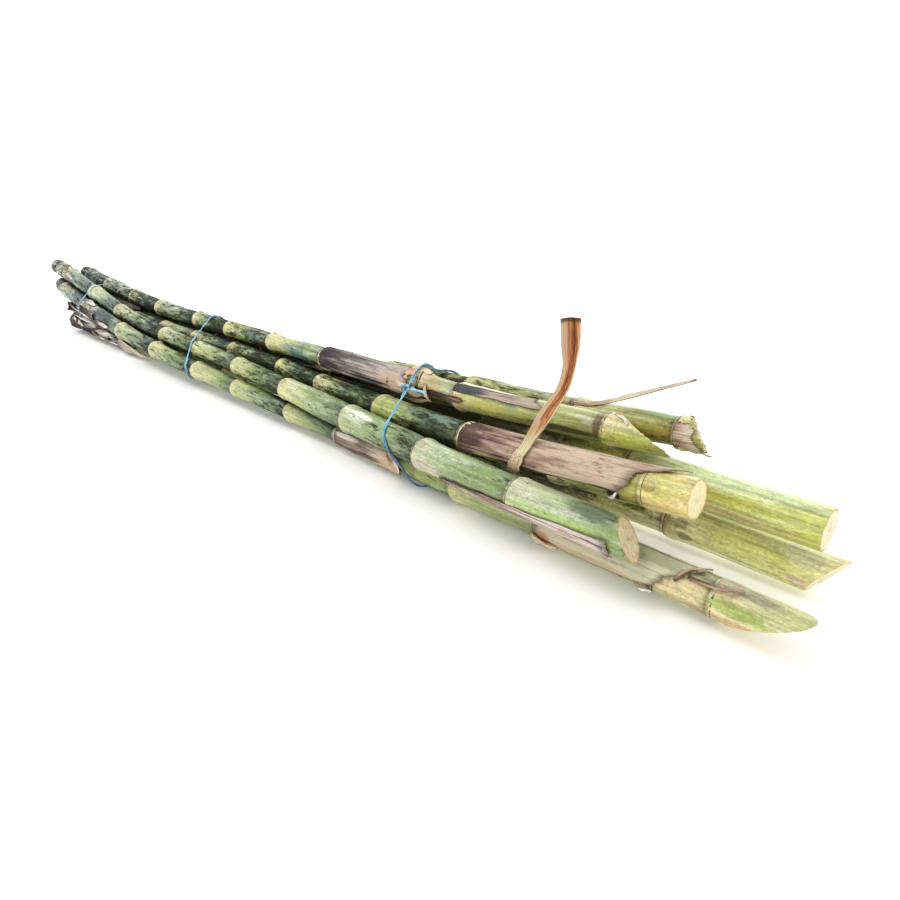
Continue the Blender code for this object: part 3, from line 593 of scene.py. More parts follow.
def settled_courses():
    """Centre of every stalk at its sections, pushed apart until none overlap."""
    xs = SAMPLE_FROM + SAMPLE_STEP * np.arange(SAMPLE_COUNT)
    names = list(CANES)
    centres = np.zeros((len(names), SAMPLE_COUNT, 2))
    needs = np.zeros((len(names), SAMPLE_COUNT))
    present = np.zeros((len(names), SAMPLE_COUNT), bool)
    for i, name in enumerate(names):
        cane = CANES[name]
        course = np.array(cane["course"]) * MM
        held = np.clip(xs, STATIONS[0] - HELD_BEFORE, STATIONS[-1] + HELD_AFTER)
        for axis in range(2):
            centres[i, :, axis] = natural_spline(STATIONS, course[:, axis], held)
        needs[i] = [envelope(cane, x) * TILT_ALLOWANCE for x in xs]
        present[i] = (xs > cane["butt"] - END_MARGIN) & (xs < cane["tip"] + END_MARGIN)
    targets = centres.copy()
    for step in range(SMOOTH_ROUNDS + PUSH_ROUNDS):
        if step < SMOOTH_ROUNDS:
            centres += PULL * (targets - centres)
            inner = (centres[:, 2:] + centres[:, :-2]) / 2 - centres[:, 1:-1]
            centres[:, 1:-1] += STIFFNESS * inner
        for i in range(len(names)):
            for j in range(i):
                both = present[i] & present[j]
                apart = centres[i] - centres[j]
                distance = np.hypot(apart[:, 0], apart[:, 1])
                short = np.maximum(0, needs[i] + needs[j] + CLEARANCE - distance) * both
                push = 0.5 * (short / distance)[:, None] * apart
                centres[i] += push
                centres[j] -= push
            centres[i, :, 1] = np.maximum(centres[i, :, 1], needs[i])
    courses = {}
    for i, name in enumerate(names):
        places = cane_places(CANES[name])
        path = [np.interp(places, xs, centres[i, :, axis]) for axis in range(2)]
        courses[name] = (places, np.column_stack(path))
    return courses


COURSES = settled_courses()


def centre_at(name, x):
    places, path = COURSES[name]
    return float(np.interp(x, places, path[:, 0])), float(np.interp(x, places, path[:, 1]))


def frame_at(name, x):
    """Centre of a stalk at x with its side and up directions square to its axis."""
    y0, z0 = centre_at(name, x - AIM)
    y1, z1 = centre_at(name, x + AIM)
    axis = Vector((2 * AIM, y1 - y0, z1 - z0)).normalized()
    side = (Vector((0, 1, 0)) - axis * axis.y).normalized()
    above = axis.cross(side)
    return Vector((x, *centre_at(name, x))), axis, side, above


def on_cane(name, x, angle, lift):
    """Point over a stalk, lift above its ridges, and the way out from its axis there."""
    centre, _, side, above = frame_at(name, x)
    radius = float(body_radius(CANES[name], x)) + RIDGE + lift
    turn = math.radians(angle)
    out = math.cos(turn) * side + math.sin(turn) * above
    return centre + radius * out, out


def ripple(seed, along, around, count, wave_from, wave_to):
    """Sum of seeded waves along a stalk and round it, about -1 to 1."""
    draw = random.Random(seed)
    total = np.zeros(np.broadcast(along, around).shape)
    for _ in range(count):
        length = draw.uniform(wave_from, wave_to)
        turns = draw.randint(0, 4)
        total += np.sin(TAU * along / length + turns * around + draw.uniform(0, TAU))
    return total / math.sqrt(count)


def fine_centre(name, x):
    places, path = COURSES[name]
    return natural_spline(places, path[:, 0], x), natural_spline(places, path[:, 1], x)


def fine_frames(name, x):
    """Centres and side and up directions at an array of places."""
    y, z = fine_centre(name, x)
    y0, z0 = fine_centre(name, x - FINE_REACH)
    y1, z1 = fine_centre(name, x + FINE_REACH)
    axis = np.stack([np.full_like(x, 2 * FINE_REACH), y1 - y0, z1 - z0], -1)
    axis /= np.linalg.norm(axis, axis=-1, keepdims=True)
    side = np.array((0.0, 1.0, 0.0)) - axis * axis[..., 1:2]
    side /= np.linalg.norm(side, axis=-1, keepdims=True)
    above = np.cross(axis, side)
    return np.stack([x, y, z], -1), side, above


def covered(name, x, angle):
    """Whether a sheath hides a stalk there, or nearly does."""
    for cane_name, start, end, middle, span, *_ in SHEATHS.values():
        off = (angle - middle + 180) % 360 - 180
        if cane_name == name and start - 0.012 < x < end - 0.015 and abs(off) < span / 2 + 12:
            return True
    return False


def turned_from(turn, angle):
    """Turn from an angle in degrees, between half a turn each way."""
    return (turn - math.radians(angle) + math.pi) % TAU - math.pi


def bud_lump(name, k, x, turn):
    """Height share of the bud above ring k, and how near the bud's own line each point is."""
    cane = CANES[name]
    angle = cane["bud"] + 180 * (len(cane["rings"]) - 1 - k)
    across = turned_from(turn, angle) * cane["top_radius"] / BUD_HALF_WIDTH
    lengthwise = (x - cane["rings"][k] - BUD_PLACE) / BUD_HALF_LENGTH
    lump = np.clip(1 - across**2 - lengthwise**2, 0, 1)
    if covered(name, cane["rings"][k], angle % 360):
        lump = 0 * lump
    return lump, hump(across, 1)


def fine_relief(name, x, turn):
    """Ridges, root bands, growth rings, buds and slight unevenness over the body."""
    cane = CANES[name]
    relief = UNEVEN * ripple(name + "long", x, turn, *UNEVEN_WAVES)
    relief += FLUTE * ripple(name + "flutes", x, FLUTES_ROUND * turn, *FLUTE_WAVES)
    below, above, _ = internode_facts(name, x)
    faint = cane.get("faint", ())
    weights = np.array([1.0] + [FAINT_WEIGHT if ring in faint else 1.0 for ring in cane["rings"]] + [1.0])
    last = np.searchsorted(cane["rings"], x, side="right")
    relief += SWELL_ABOVE * weights[last] * smooth_step(below / SWELL_START) * hump(below, SWELL_REACH)
    relief -= SLIM_BELOW * weights[last + 1] * hump(above, SLIM_REACH)
    for k, ring in enumerate(cane["rings"]):
        d = x - ring - RING_WANDER[0] * np.sin(turn * 2 + k) - RING_WANDER[1] * np.sin(turn * 5 + 2 * k)
        fringe = 1 + FRINGE * np.sin(turn * 9 + 3 * k) * np.sin(turn * 4 + k)
        inside = np.clip(d / BAND_LENGTH, 0, 1)
        form = RIDGE * fringe * hump(d, RIDGE_WIDTH)
        form = form + BAND_SWELL * np.sin(math.pi * inside) ** 0.6 * (d > 0) * (d < BAND_LENGTH)
        form = form + GROWTH_RING * hump(d - BAND_LENGTH - GROWTH_GAP, GROWTH_WIDTH)
        form = form - NECK * hump(d + NECK_PLACE, NECK_WIDTH)
        lump, groove = bud_lump(name, k, x, turn)
        away = x - ring
        groove = groove * smooth_step((away - GROOVE_FROM) / GROOVE_STARTS_OVER)
        groove = groove * (1 - smooth_step((away - GROOVE_TO) / GROOVE_ENDS_OVER))
        form = form + BUD_HEIGHT * lump**0.7 - GROOVE * groove
        relief = relief + weights[k + 1] * form
    for place, angle, half_length, half_angle, height in cane.get("lumps", ()):
        away = ((x - place) / half_length) ** 2 + (turned_from(turn, angle) / math.radians(half_angle)) ** 2
        relief = relief + height * np.exp(-(away**2))
    return relief


def fine_points(name, x, turn):
    centre, side, above = fine_frames(name, x)
    radius = body_radius(CANES[name], x) + fine_relief(name, x, turn)
    out = np.cos(turn)[..., None] * side + np.sin(turn)[..., None] * above
    return centre + radius[..., None] * out, radius


def cut_plane(name, place, lean, facing, sign):
    centre, axis, side, above = frame_at(name, place)
    tilt = math.radians(lean)
    turn = math.radians(facing)
    across = math.cos(turn) * side + math.sin(turn) * above
    normal = math.cos(tilt) * axis + math.sin(tilt) * across
    return np.array(centre), np.array(normal) * sign


def cut_places(name, turns, origin, normal, start, ragged):
    """Where along X each side line meets the cut, with a torn edge."""
    x = np.full_like(turns, start)
    for _ in range(8):
        points, _ = fine_points(name, x, turns)
        x = x - ((points - origin) @ normal) / normal[0]
    draw = random.Random(name + "torn")
    torn = sum(np.sin(turns * n + draw.uniform(0, TAU)) for n in TORN_WAVES)
    return x + ragged * torn / len(TORN_WAVES)


def cane_rows(name):
    """Places along X for the even rows of a stalk, closer at the rings and near the camera."""
    cane = CANES[name]
    x = cane["butt"] + ROWS_FROM
    slant = math.tan(math.radians(cane["cut"][0]))
    end = cane["tip"] - ROWS_SHORT - 2.0 * cane["top_radius"] * slant * SLANT_SHARE
    rows = [x]
    while x < end:
        near = smooth_step((x - NEAR_FROM) / NEAR_LENGTH)
        step = STEP_FAR * (1 - near) + STEP_NEAR * near
        gap = min(abs(x - ring - RING_STEP) for ring in cane["rings"])
        if gap < RING_ROOM:
            step = min(step, STEP_AT_RING + FAR_RING_STEP * (1 - near))
        x += float(step)
        rows.append(x)
    return np.array(rows)


def add_float(mesh, name, values):
    mesh.attributes.new(name, "FLOAT", "POINT").data.foreach_set("value", values.astype(np.float32))


def add_vector(mesh, name, values):
    layer = mesh.attributes.new(name, "FLOAT_VECTOR", "POINT")
    layer.data.foreach_set("vector", values.astype(np.float32).ravel())


def grid_faces(rows, columns, closed):
    i, j = np.meshgrid(np.arange(rows - 1), np.arange(columns if closed else columns - 1), indexing="ij")
    right = (j + 1) % columns
    faces = np.stack([i * columns + j, i * columns + right, (i + 1) * columns + right,
                      (i + 1) * columns + j], -1)
    return faces.reshape(-1, 4)


def new_piece(name, points, faces, materials):
    mesh = bpy.data.meshes.new(name)
    mesh.from_pydata(points.tolist(), [], [list(map(int, face)) for face in faces])
    for material in materials:
        mesh.materials.append(material)
    mesh.shade_smooth()
    piece = bpy.data.objects.new(name, mesh)
    bpy.context.scene.collection.objects.link(piece)
    return piece


def internode_facts(name, x):
    """Distance above the ring below, distance to the ring above and a number per internode."""
    cane = CANES[name]
    rings = np.array((cane["butt"] - RING_BEFORE, *cane["rings"], cane["tip"] + RING_AFTER))
    k = np.clip(np.searchsorted(rings, x, side="right") - 1, 0, len(rings) - 2)
    draw = random.Random(name + "internodes")
    chances = np.array([draw.random() for _ in rings])
    return x - rings[k], rings[k + 1] - x, chances[k]


def age_at(x):
    """0 at the oldest butt, 1 at the top."""
    return (x - AGE_FROM) / AGE_LENGTH


def pattern_shift(name):
    return PATTERN_SHIFT * list(CANES).index(name)


def crowding(name, points):
    """1 where another stalk all but touches, falling off to 0 where none is near."""
    nearest = np.full(len(points), 1.0)
    for other, cane in CANES.items():
        if other == name:
            continue
        y, z = fine_centre(other, points[:, 0])
        gap = np.hypot(points[:, 1] - y, points[:, 2] - z) - body_radius(cane, points[:, 0])
        gap[(points[:, 0] < cane["butt"]) | (points[:, 0] > cane["tip"])] = 1.0
        nearest = np.minimum(nearest, gap)
    reach = np.interp(points[:, 0], *CROWD_REACH)
    strength = np.interp(points[:, 0], *CROWD_STRENGTH)
    return strength * hump(np.maximum(0, nearest), reach)


def make_cane(name, materials):
    cane = CANES[name]
    turns = np.arange(SIDES) * TAU / SIDES
    rows = cane_rows(name)
    top_origin, top_normal = cut_plane(name, cane["tip"], *cane["cut"], 1)
    butt_origin, butt_normal = cut_plane(name, cane["butt"], *BUTT_CUT, -1)
    top = cut_places(name, turns, top_origin, top_normal, cane["tip"], TORN_CUTS.get(name, CLEAN_CUT))
    butt = cut_places(name, turns, butt_origin, butt_normal, cane["butt"], BUTT_RAGGED)
    share = (np.arange(1, END_ROWS + 1) / END_ROWS)[:, None]
    first = butt[None, :] + (rows[0] - butt)[None, :] * np.linspace(0, 1, BUTT_ROWS)[:-1, None]
    last = rows[-1] + (top - rows[-1])[None, :] * share
    x = np.concatenate([first, np.repeat(rows[:, None], SIDES, 1), last])
    turn = np.broadcast_to(turns, x.shape)
    points, radius = fine_points(name, x, turn)
    mesh_faces = grid_faces(len(x), SIDES, True).tolist()
    side_count = len(mesh_faces)
    side_flat = np.stack([x, radius * np.cos(turn), radius * np.sin(turn)], -1)
    all_points = [points.reshape(-1, 3)]
    flat = [side_flat.reshape(-1, 3)]
    rim = [np.ones(x.size)]
    xs = [x.ravel()]
    for row, normal, outward in ((len(x) - 1, top_normal, 1), (0, butt_normal, -1)):
        edge = points[row]
        middle = edge.mean(axis=0)
        middle_flat = side_flat[row].mean(axis=0)
        previous = row * SIDES + np.arange(SIDES)
        draw = random.Random(name + str(outward))
        for loop in range(1, CAP_LOOPS + 1):
            keep = 1 - (loop / CAP_LOOPS) ** 1.3 * 0.97
            grain = np.array([draw.uniform(-1, 1) for _ in range(SIDES)])
            rough = CAP_ROUGH * grain * min(1, loop / 2)
            current = sum(len(part) for part in all_points) + np.arange(SIDES)
            all_points.append(middle + (edge - middle) * keep + normal * rough[:, None])
            flat.append(middle_flat + (side_flat[row] - middle_flat) * keep)
            rim.append(np.full(SIDES, keep))
            xs.append(x[row])
            corners = [previous, np.roll(previous, -1), np.roll(current, -1), current]
            mesh_faces += np.stack(corners[::outward], -1).tolist()
            previous = current
        mesh_faces.append(previous[::outward].tolist())
    course_points = np.concatenate(all_points)
    piece = new_piece(name + "_fine", course_points + SHIFT, mesh_faces, materials)
    slots = np.zeros(len(mesh_faces), np.int32)
    slots[side_count:] = 1
    piece.data.polygons.foreach_set("material_index", slots)
    along = np.concatenate(xs)
    flat = np.concatenate(flat)
    rim = np.concatenate(rim)
    below, above, chance = internode_facts(name, along)
    turned = np.arctan2(flat[:, 2], flat[:, 1])
    buds = [bud_lump(name, k, along, turned)[0] for k in range(len(cane["rings"]))]
    for attribute, values in (
            ("since_ring", below), ("to_ring", above), ("part_way", np.clip(below / (below + above), 0, 1)),
            ("chance", chance), ("age", np.clip(age_at(along), 0, 1)), ("rim", rim),
            ("crowd", crowding(name, course_points)), ("bud", np.max(buds, axis=0) * (rim > 0.999)),
            ("up", flat[:, 2] / np.maximum(1e-4, np.hypot(flat[:, 1], flat[:, 2])))):
        add_float(piece.data, attribute, values)
    add_vector(piece.data, "flat", flat + np.array((pattern_shift(name), 0, 0)))
    piece.data.set_sharp_from_angle(angle=math.radians(SHARP_ANGLE))
    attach(piece, "root")
    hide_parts(name)


class Web:
    """Short ways to add nodes to a material."""

    def __init__(self, name):
        self.material = bpy.data.materials.new(name)
        self.material.use_nodes = True
        self.tree = self.material.node_tree
        self.shader = self.tree.nodes["Principled BSDF"]
        self.attributes = {}

    def put(self, socket, value):
        if isinstance(value, bpy.types.NodeSocket):
            self.tree.links.new(value, socket)
        elif isinstance(value, (tuple, list)) and len(value) == 3 and socket.type == "RGBA":
            socket.default_value = (*value, 1.0)
        else:
            socket.default_value = value

    def add(self, kind, output, inputs, **settings):
        """Output of a new node, with its settings made and its inputs filled or linked."""
        node = self.tree.nodes.new("ShaderNode" + kind)
        for setting, value in settings.items():
            setattr(node, setting, value)
        for socket, value in inputs.items():
            self.put(node.inputs[socket], value)
        return node.outputs[output]

    def paint(self, inputs):
        """Fill or link the shader's inputs, and give the material."""
        for socket, value in inputs.items():
            self.put(self.shader.inputs[socket], value)
        return self.material

    def attribute(self, name, output="Fac"):
        if name not in self.attributes:
            self.attributes[name] = self.add("Attribute", output, {}, attribute_name=name)
        return self.attributes[name]

    def math(self, operation, a, b, clamp=False):
        return self.add("Math", 0, {0: a, 1: b}, operation=operation, use_clamp=clamp)

    def times(self, a, b):
        return self.math("MULTIPLY", a, b)

    def plus(self, a, b, clamp=False):
        return self.math("ADD", a, b, clamp)

    def less(self, a, b):
        return self.math("SUBTRACT", a, b)

    def drift(self, value, amount):
        """A value from 0 to 1, taken round 0 and scaled."""
        return self.times(self.less(value, 0.5), amount)

    def spread(self, along, around):
        """The piece's flat coordinates, times how dense a pattern is along it and round it."""
        flat = self.attribute("flat", "Vector")
        return self.add("VectorMath", 0, {0: flat, 1: (along, around, around)}, operation="MULTIPLY")

    def grain(self, along, around, detail, rough):
        return self.add("TexNoise", "Fac", {"Vector": self.spread(along, around), "Scale": 1.0,
                                            "Detail": detail, "Roughness": rough})

    def cells(self, along, around):
        return self.add("TexVoronoi", "Distance", {"Vector": self.spread(along, around), "Scale": 1.0})

    def mark(self, under, centre, half_length, reach, noises, colour, strength):
        """Patch of a colour round a centre, its edge made ragged by two noises."""
        flat = self.attribute("flat", "Vector")
        away = self.add("VectorMath", 0, {0: flat, 1: centre}, operation="SUBTRACT")
        away = self.add("VectorMath", 0, {0: away, 1: (1 / half_length, 1 / reach, 1 / reach)},
                        operation="MULTIPLY")
        away = self.add("VectorMath", "Value", {0: away}, operation="LENGTH")
        for noise, amount in zip(noises, (1.5, 0.7)):
            away = self.plus(away, self.drift(noise, amount))
        return self.tint(under, self.span(away, 1.12, 0.62), strength, colour)

    def soften(self, colour):
        """Colour as this light needs it."""
        inputs = {"Saturation": SATURATION, "Value": BRIGHTNESS, "Color": colour}
        return self.add("HueSaturation", "Color", inputs)

    def span(self, value, low, high, to_low=0.0, to_high=1.0):
        """Smooth step between two values, which may fall."""
        inputs = {"Value": value, "From Min": low, "From Max": high, "To Min": to_low, "To Max": to_high}
        return self.add("MapRange", "Result", inputs, interpolation_type="SMOOTHSTEP")

    def ramp(self, value, stops):
        node = self.tree.nodes.new("ShaderNodeValToRGB")
        self.put(node.inputs["Fac"], value)
        points = node.color_ramp.elements
        while len(points) < len(stops):
            points.new(0.5)
        for point, (place, colour) in zip(points, stops):
            point.position = place
            point.color = (*srgb(*colour), 1.0)
        return node.outputs["Color"]

    def mix(self, share, first, second, blend="MIX"):
        return self.add("Mix", 2, {"Factor": share, 6: first, 7: second}, data_type="RGBA", blend_type=blend)

    def tint(self, under, share, amount, colour):
        """Lay a colour over another one, by a share times an amount."""
        return self.mix(self.times(share, amount), under, srgb(*colour))

    def grey(self, value):
        """Grey colour of the given brightness, which may pass 1."""
        return self.add("CombineColor", 0, {0: value, 1: value, 2: value})

    def bump(self, height, strength, distance):
        return self.add("Bump", "Normal", {"Strength": strength, "Distance": distance, "Height": height})


# How much of the palette's colour and brightness stays, under this light
SATURATION = 0.92
BRIGHTNESS = 0.98


def srgb(red, green, blue):
    """Linear colour from the usual 0 to 255 values."""
    return tuple(((v / 255 + 0.055) / 1.055) ** 2.4 if v > 10 else v / 3294 for v in (red, green, blue))


# Rind colours from just above a leaf scar to just below the next one
BUTT_TONES = ((0.0, (224, 218, 174)), (0.25, (190, 198, 148)), (0.50, (142, 160, 130)),
              (0.78, (92, 120, 118)), (1.0, (48, 68, 80)))
MIDDLE_TONES = ((0.0, (226, 220, 162)), (0.25, (198, 204, 132)), (0.55, (158, 172, 100)),
                (0.82, (116, 138, 84)), (1.0, (72, 92, 60)))


def rind_material(name):
    """Waxy stalk: pale above each scar, green to teal below the next, with soot, wax, painted sheen and
    painted shade.
    """
    looks = LOOKS[name]
    web = Web(name + "_rind")
    since = web.attribute("since_ring")
    ahead = web.attribute("to_ring")
    part_way = web.attribute("part_way")
    age = web.attribute("age")
    chance = web.attribute("chance")
    up = web.attribute("up")
    crowd = web.attribute("crowd")
    bud = web.attribute("bud")
    long_grain = web.grain(7.0, 260.0, 3.0, 0.6)
    blotch = web.grain(16.0, 50.0, 4.0, 0.6)
    small = web.grain(140.0, 320.0, 4.0, 0.65)

    # Tones along the internode, for the butt, the middle and the top of the stalk
    zone = web.plus(part_way, web.drift(blotch, 0.95))
    zone = web.plus(zone, web.drift(chance, 0.25), clamp=True)
    tone = web.plus(age, web.drift(blotch, 0.16))
    body = web.mix(web.span(tone, 0.18, 0.46), web.ramp(zone, BUTT_TONES), web.ramp(zone, MIDDLE_TONES))
    body = web.mix(web.span(tone, *looks["top_from"]), body, web.ramp(zone, looks["top"]))

    # Teal patches, and grey wax on the upper side, partly a painted sheen where light falls on top
    teal = web.span(web.grain(18.0, 55.0, 5.0, 0.62), 0.46, 0.60)
    teal = web.times(teal, web.span(part_way, 0.12, 0.5))
    teal = web.times(teal, web.span(age, 0.86, 0.80))
    body = web.tint(body, teal, looks["teal"], (78, 128, 130))
    wax_and_sheen = web.span(web.grain(15.0, 90.0, 6.0, 0.66), 0.48, 0.66)
    wax_and_sheen = web.times(wax_and_sheen, web.span(up, -0.5, 0.7))
    body = web.tint(body, wax_and_sheen, looks["wax_and_sheen"], (222, 230, 214))

    # Marks at known places, with ragged edges
    for x, angle, half_length, half_angle, colour, strength in CANE_MARKS[name]:
        radius = float(body_radius(CANES[name], x))
        turn = math.radians(angle)
        centre = (x + pattern_shift(name), radius * math.cos(turn), radius * math.sin(turn))
        reach = 2 * radius * math.sin(math.radians(min(half_angle, 170) / 2))
        body = web.mark(body, centre, half_length, reach, (blotch, small), colour, strength)

    # Navy and black grime with pale flakes at the far end
    grime_to = looks.get("grime_to", GRIME_TO)
    reach = web.span(age, age_at(grime_to), age_at(grime_to - GRIME_FADE))
    grime = web.span(web.grain(46.0, 130.0, 8.0, 0.80), 0.49, 0.54)
    grime_colour = web.mix(web.span(blotch, 0.45, 0.55), srgb(16, 20, 22), srgb(36, 52, 98))
    body = web.mix(web.times(web.times(grime, reach), 0.88), body, grime_colour)
    flakes = web.span(web.grain(58.0, 190.0, 6.0, 0.72), 0.56, 0.61)
    body = web.tint(body, web.times(flakes, reach), 0.80, (218, 218, 212))

    # Growth ring and the tan spots of the root band
    growth = web.times(web.span(since, 0.0140, 0.0152), web.span(since, 0.0176, 0.0162))
    body = web.tint(body, growth, looks["growth"], (150, 132, 84))
    in_band = web.less(1.0, web.span(since, 0.0105, 0.0150))
    dots = web.span(web.cells(330.0, 330.0), 0.30, 0.16)
    dots = web.times(dots, web.times(in_band, web.span(since, 0.003, 0.005)))
    body = web.tint(body, dots, 0.25, (158, 140, 92))
    tan = web.times(in_band, web.span(small, 0.46, 0.70))
    body = web.tint(body, tan, looks["tan"], (222, 196, 146))

    # Bud: a dark outline round a paler middle
    inner = web.span(bud, 0.25, 0.6)
    outline = web.times(web.span(bud, 0.02, 0.12), web.less(1.0, inner))
    body = web.tint(body, outline, 0.40, (120, 92, 56))
    body = web.tint(body, inner, 0.45, (176, 146, 88))

    # Soot and mould, heavier towards the next scar; the extra soot between stalks and on the underside is
    # partly painted shade
    patch = web.grain(30.0, 120.0, 9.0, 0.80)
    level = web.plus(patch, web.times(web.span(part_way, 0.15, 0.95), 0.06))
    level = web.plus(level, web.drift(chance, 0.14))
    level = web.plus(level, web.span(ahead, 0.012, 0.0, 0.0, 0.03))
    level = web.plus(level, web.times(crowd, 0.10))
    level = web.plus(level, web.span(up, 0.3, -0.8, 0.0, 0.05))
    level = web.less(level, web.span(since, 0.020, 0.004, 0.0, 0.10))
    level = web.plus(level, web.span(age, looks["soot_to"], 0.0, 0.0, 0.07))
    level = web.less(level, web.span(age, *looks["clean_from"], 0.0, 0.16))
    soot = web.span(level, 0.645 - looks["soot"] * 0.15, 0.755 - looks["soot"] * 0.15)
    soot_colour = web.mix(web.span(small, 0.35, 0.65), srgb(18, 22, 18), srgb(58, 62, 44))
    body = web.mix(web.times(soot, 0.90), body, soot_colour)
    specks = web.cells(300.0, 560.0)
    where = web.grain(60.0, 150.0, 4.0, 0.65)
    limit = web.times(web.span(where, 0.44, 0.72), 0.24 + looks["soot"] * 0.26)
    limit = web.times(limit, web.span(age, *looks["clean_from"], 1.0, 0.55))
    speck = web.span(web.less(limit, specks), -0.03, 0.03)
    body = web.tint(body, speck, 0.80, (42, 42, 28))

    # Leaf scar: a dark line with a pale torn edge before it
    scar = web.times(web.span(since, 0.0026, 0.0012), web.span(small, 0.25, 0.50, 0.55, 1.0))
    body = web.tint(body, scar, 0.92, (50, 36, 26))
    torn = web.times(web.span(ahead, 0.0034, 0.0016), web.span(small, 0.40, 0.62))
    body = web.tint(body, torn, 0.9, (224, 212, 190))
    under = web.times(web.span(ahead, 0.0075, 0.0030), web.span(ahead, 0.0016, 0.0034))
    body = web.tint(body, under, 0.5, (96, 78, 56))

    # Shade between stalks, a dull film and the fine grain
    body = web.tint(body, crowd, 0.72, (30, 28, 14))
    film = web.grain(44.0, 150.0, 8.0, 0.78)
    body = web.mix(web.span(film, 0.46, 0.62, 0.0, 0.34), body, srgb(112, 106, 62))
    fine = web.grain(240.0, 560.0, 6.0, 0.75)
    grain = web.times(web.span(long_grain, 0.28, 0.72, 0.74, 1.14), web.span(fine, 0.34, 0.66, 0.80, 1.14))
    body = web.mix(1.0, body, web.grey(grain), "MULTIPLY")
    rough = web.plus(web.times(small, 0.22), web.times(soot, 0.25))
    height = web.plus(web.times(long_grain, 0.6), web.times(small, 0.6))
    height = web.plus(height, web.times(patch, 0.5))
    return web.paint({"Base Color": web.soften(body), "Roughness": web.plus(rough, 0.28, clamp=True),
                      "Specular IOR Level": web.span(soot, 0.0, 1.0, 0.5, 0.12), "Coat Weight": 0.10,
                      "Coat Roughness": 0.30, "Normal": web.bump(height, 0.45, 0.0007)})


def flesh_material(name):
    """Cut face: pale juicy pith dotted with fibres, and a darker rind at the edge."""
    pale, rim_colour, stain = [srgb(*colour) for colour in FLESH_COLOURS[name]]
    web = Web(name + "_flesh")
    dots = web.span(web.cells(60.0, 900.0), 0.35, 0.15)
    mottle = web.grain(90.0, 260.0, 4.0, 0.6)
    colour = web.mix(web.span(mottle, 0.4, 0.75), pale, stain)
    colour = web.tint(colour, dots, 0.30, (190, 166, 116))
    edge = web.plus(web.attribute("rim"), web.drift(mottle, 0.10))
    colour = web.mix(web.span(edge, 0.86, 0.95), colour, rim_colour)
    height = web.plus(dots, web.times(mottle, 1.5))
    return web.paint({"Base Color": colour, "Roughness": web.span(mottle, 0.3, 0.7, 0.45, 0.75),
                      "Normal": web.bump(height, 0.5, 0.0005)})


def dry_material(name, colours, balance, marks=()):
    """Dry leaf sheath: long veins, brown to pale, with blotches of mould and split fibres."""
    dark, middle, pale = colours
    web = Web(name)
    veins = web.grain(5.0, 520.0, 4.0, 0.7)
    cracks = web.grain(9.0, 900.0, 2.0, 0.5)
    broad = web.grain(16.0, 90.0, 4.0, 0.6)
    small = web.grain(160.0, 420.0, 4.0, 0.7)
    lean = web.plus(broad, web.drift(veins, 0.85))
    lean = web.plus(lean, web.times(web.less(web.attribute("share"), 0.45), 0.35))
    lean = web.plus(lean, (balance - 0.5) * 0.42)
    colour = web.ramp(lean, ((0.25, dark), (0.45, middle), (0.66, pale)))
    mould = web.grain(30.0, 110.0, 8.0, 0.75)
    colour = web.tint(colour, web.span(mould, 0.54, 0.64), 0.55, dark)
    colour = web.tint(colour, web.span(cracks, 0.62, 0.74), 0.60, (58, 44, 36))
    for centre, half_length, reach, tone, strength in marks:
        colour = web.mark(colour, centre, half_length, reach, (broad, veins), tone, strength)
    spots = web.span(small, 0.58, 0.70)
    colour = web.tint(colour, spots, 0.50, (70, 54, 44))
    edge = web.span(web.attribute("edge"), 0.06, 0.0)
    colour = web.tint(colour, edge, 0.65, (74, 52, 40))
    height = web.plus(veins, web.times(small, 0.4))
    return web.paint({"Base Color": web.soften(colour), "Roughness": web.span(small, 0.3, 0.7, 0.58, 0.86),
                      "Normal": web.bump(height, 0.6, 0.0007)})


def blade_material(name):
    """Strip standing up: grey tan at its foot, then orange brown with a dark fold and pale sides."""
    web = Web(name)
    share = web.attribute("share")
    cross = web.attribute("cross")
    veins = web.grain(16.0, 900.0, 3.0, 0.6)
    small = web.grain(200.0, 500.0, 5.0, 0.7)
    broad = web.grain(45.0, 260.0, 5.0, 0.65)
    low = web.ramp(veins, ((0.3, (170, 136, 102)), (0.5, (222, 194, 158)), (0.7, (238, 222, 194))))
    low = web.tint(low, web.span(small, 0.52, 0.62), 0.7, (96, 68, 50))
    middle = web.ramp(veins, ((0.3, (150, 140, 88)), (0.5, (204, 196, 148)), (0.7, (222, 212, 178))))
    drift = web.drift(broad, 1.1)
    high = web.ramp(web.plus(veins, drift), (
        (0.26, (84, 44, 20)), (0.42, (160, 88, 36)), (0.58, (196, 124, 58)), (0.74, (226, 190, 146))))
    reach = web.plus(share, web.drift(broad, 0.30))
    colour = web.mix(web.span(reach, 0.34, 0.44), low, middle)
    colour = web.mix(web.span(reach, 0.50, 0.60), colour, high)
    side = web.plus(cross, web.drift(broad, 0.30))
    upper = web.span(share, 0.52, 0.62)
    fold = web.times(web.span(side, 0.56, 0.64), web.span(side, 0.76, 0.68))
    fold = web.times(web.times(fold, upper), web.span(small, 0.40, 0.58))
    colour = web.tint(colour, fold, 0.85, (66, 26, 8))
    for low_side, high_side in ((0.36, 0.22), (0.90, 0.95)):
        pale = web.times(web.span(side, low_side, high_side), upper)
        colour = web.tint(colour, pale, 0.85, (222, 196, 160))
    colour = web.tint(colour, web.span(share, 0.984, 0.994), 0.8, (58, 36, 24))
    height = web.plus(veins, web.times(small, 0.5))
    return web.paint({"Base Color": web.soften(colour), "Roughness": web.span(small, 0.3, 0.7, 0.5, 0.8),
                      "Normal": web.bump(height, 0.6, 0.0007)})


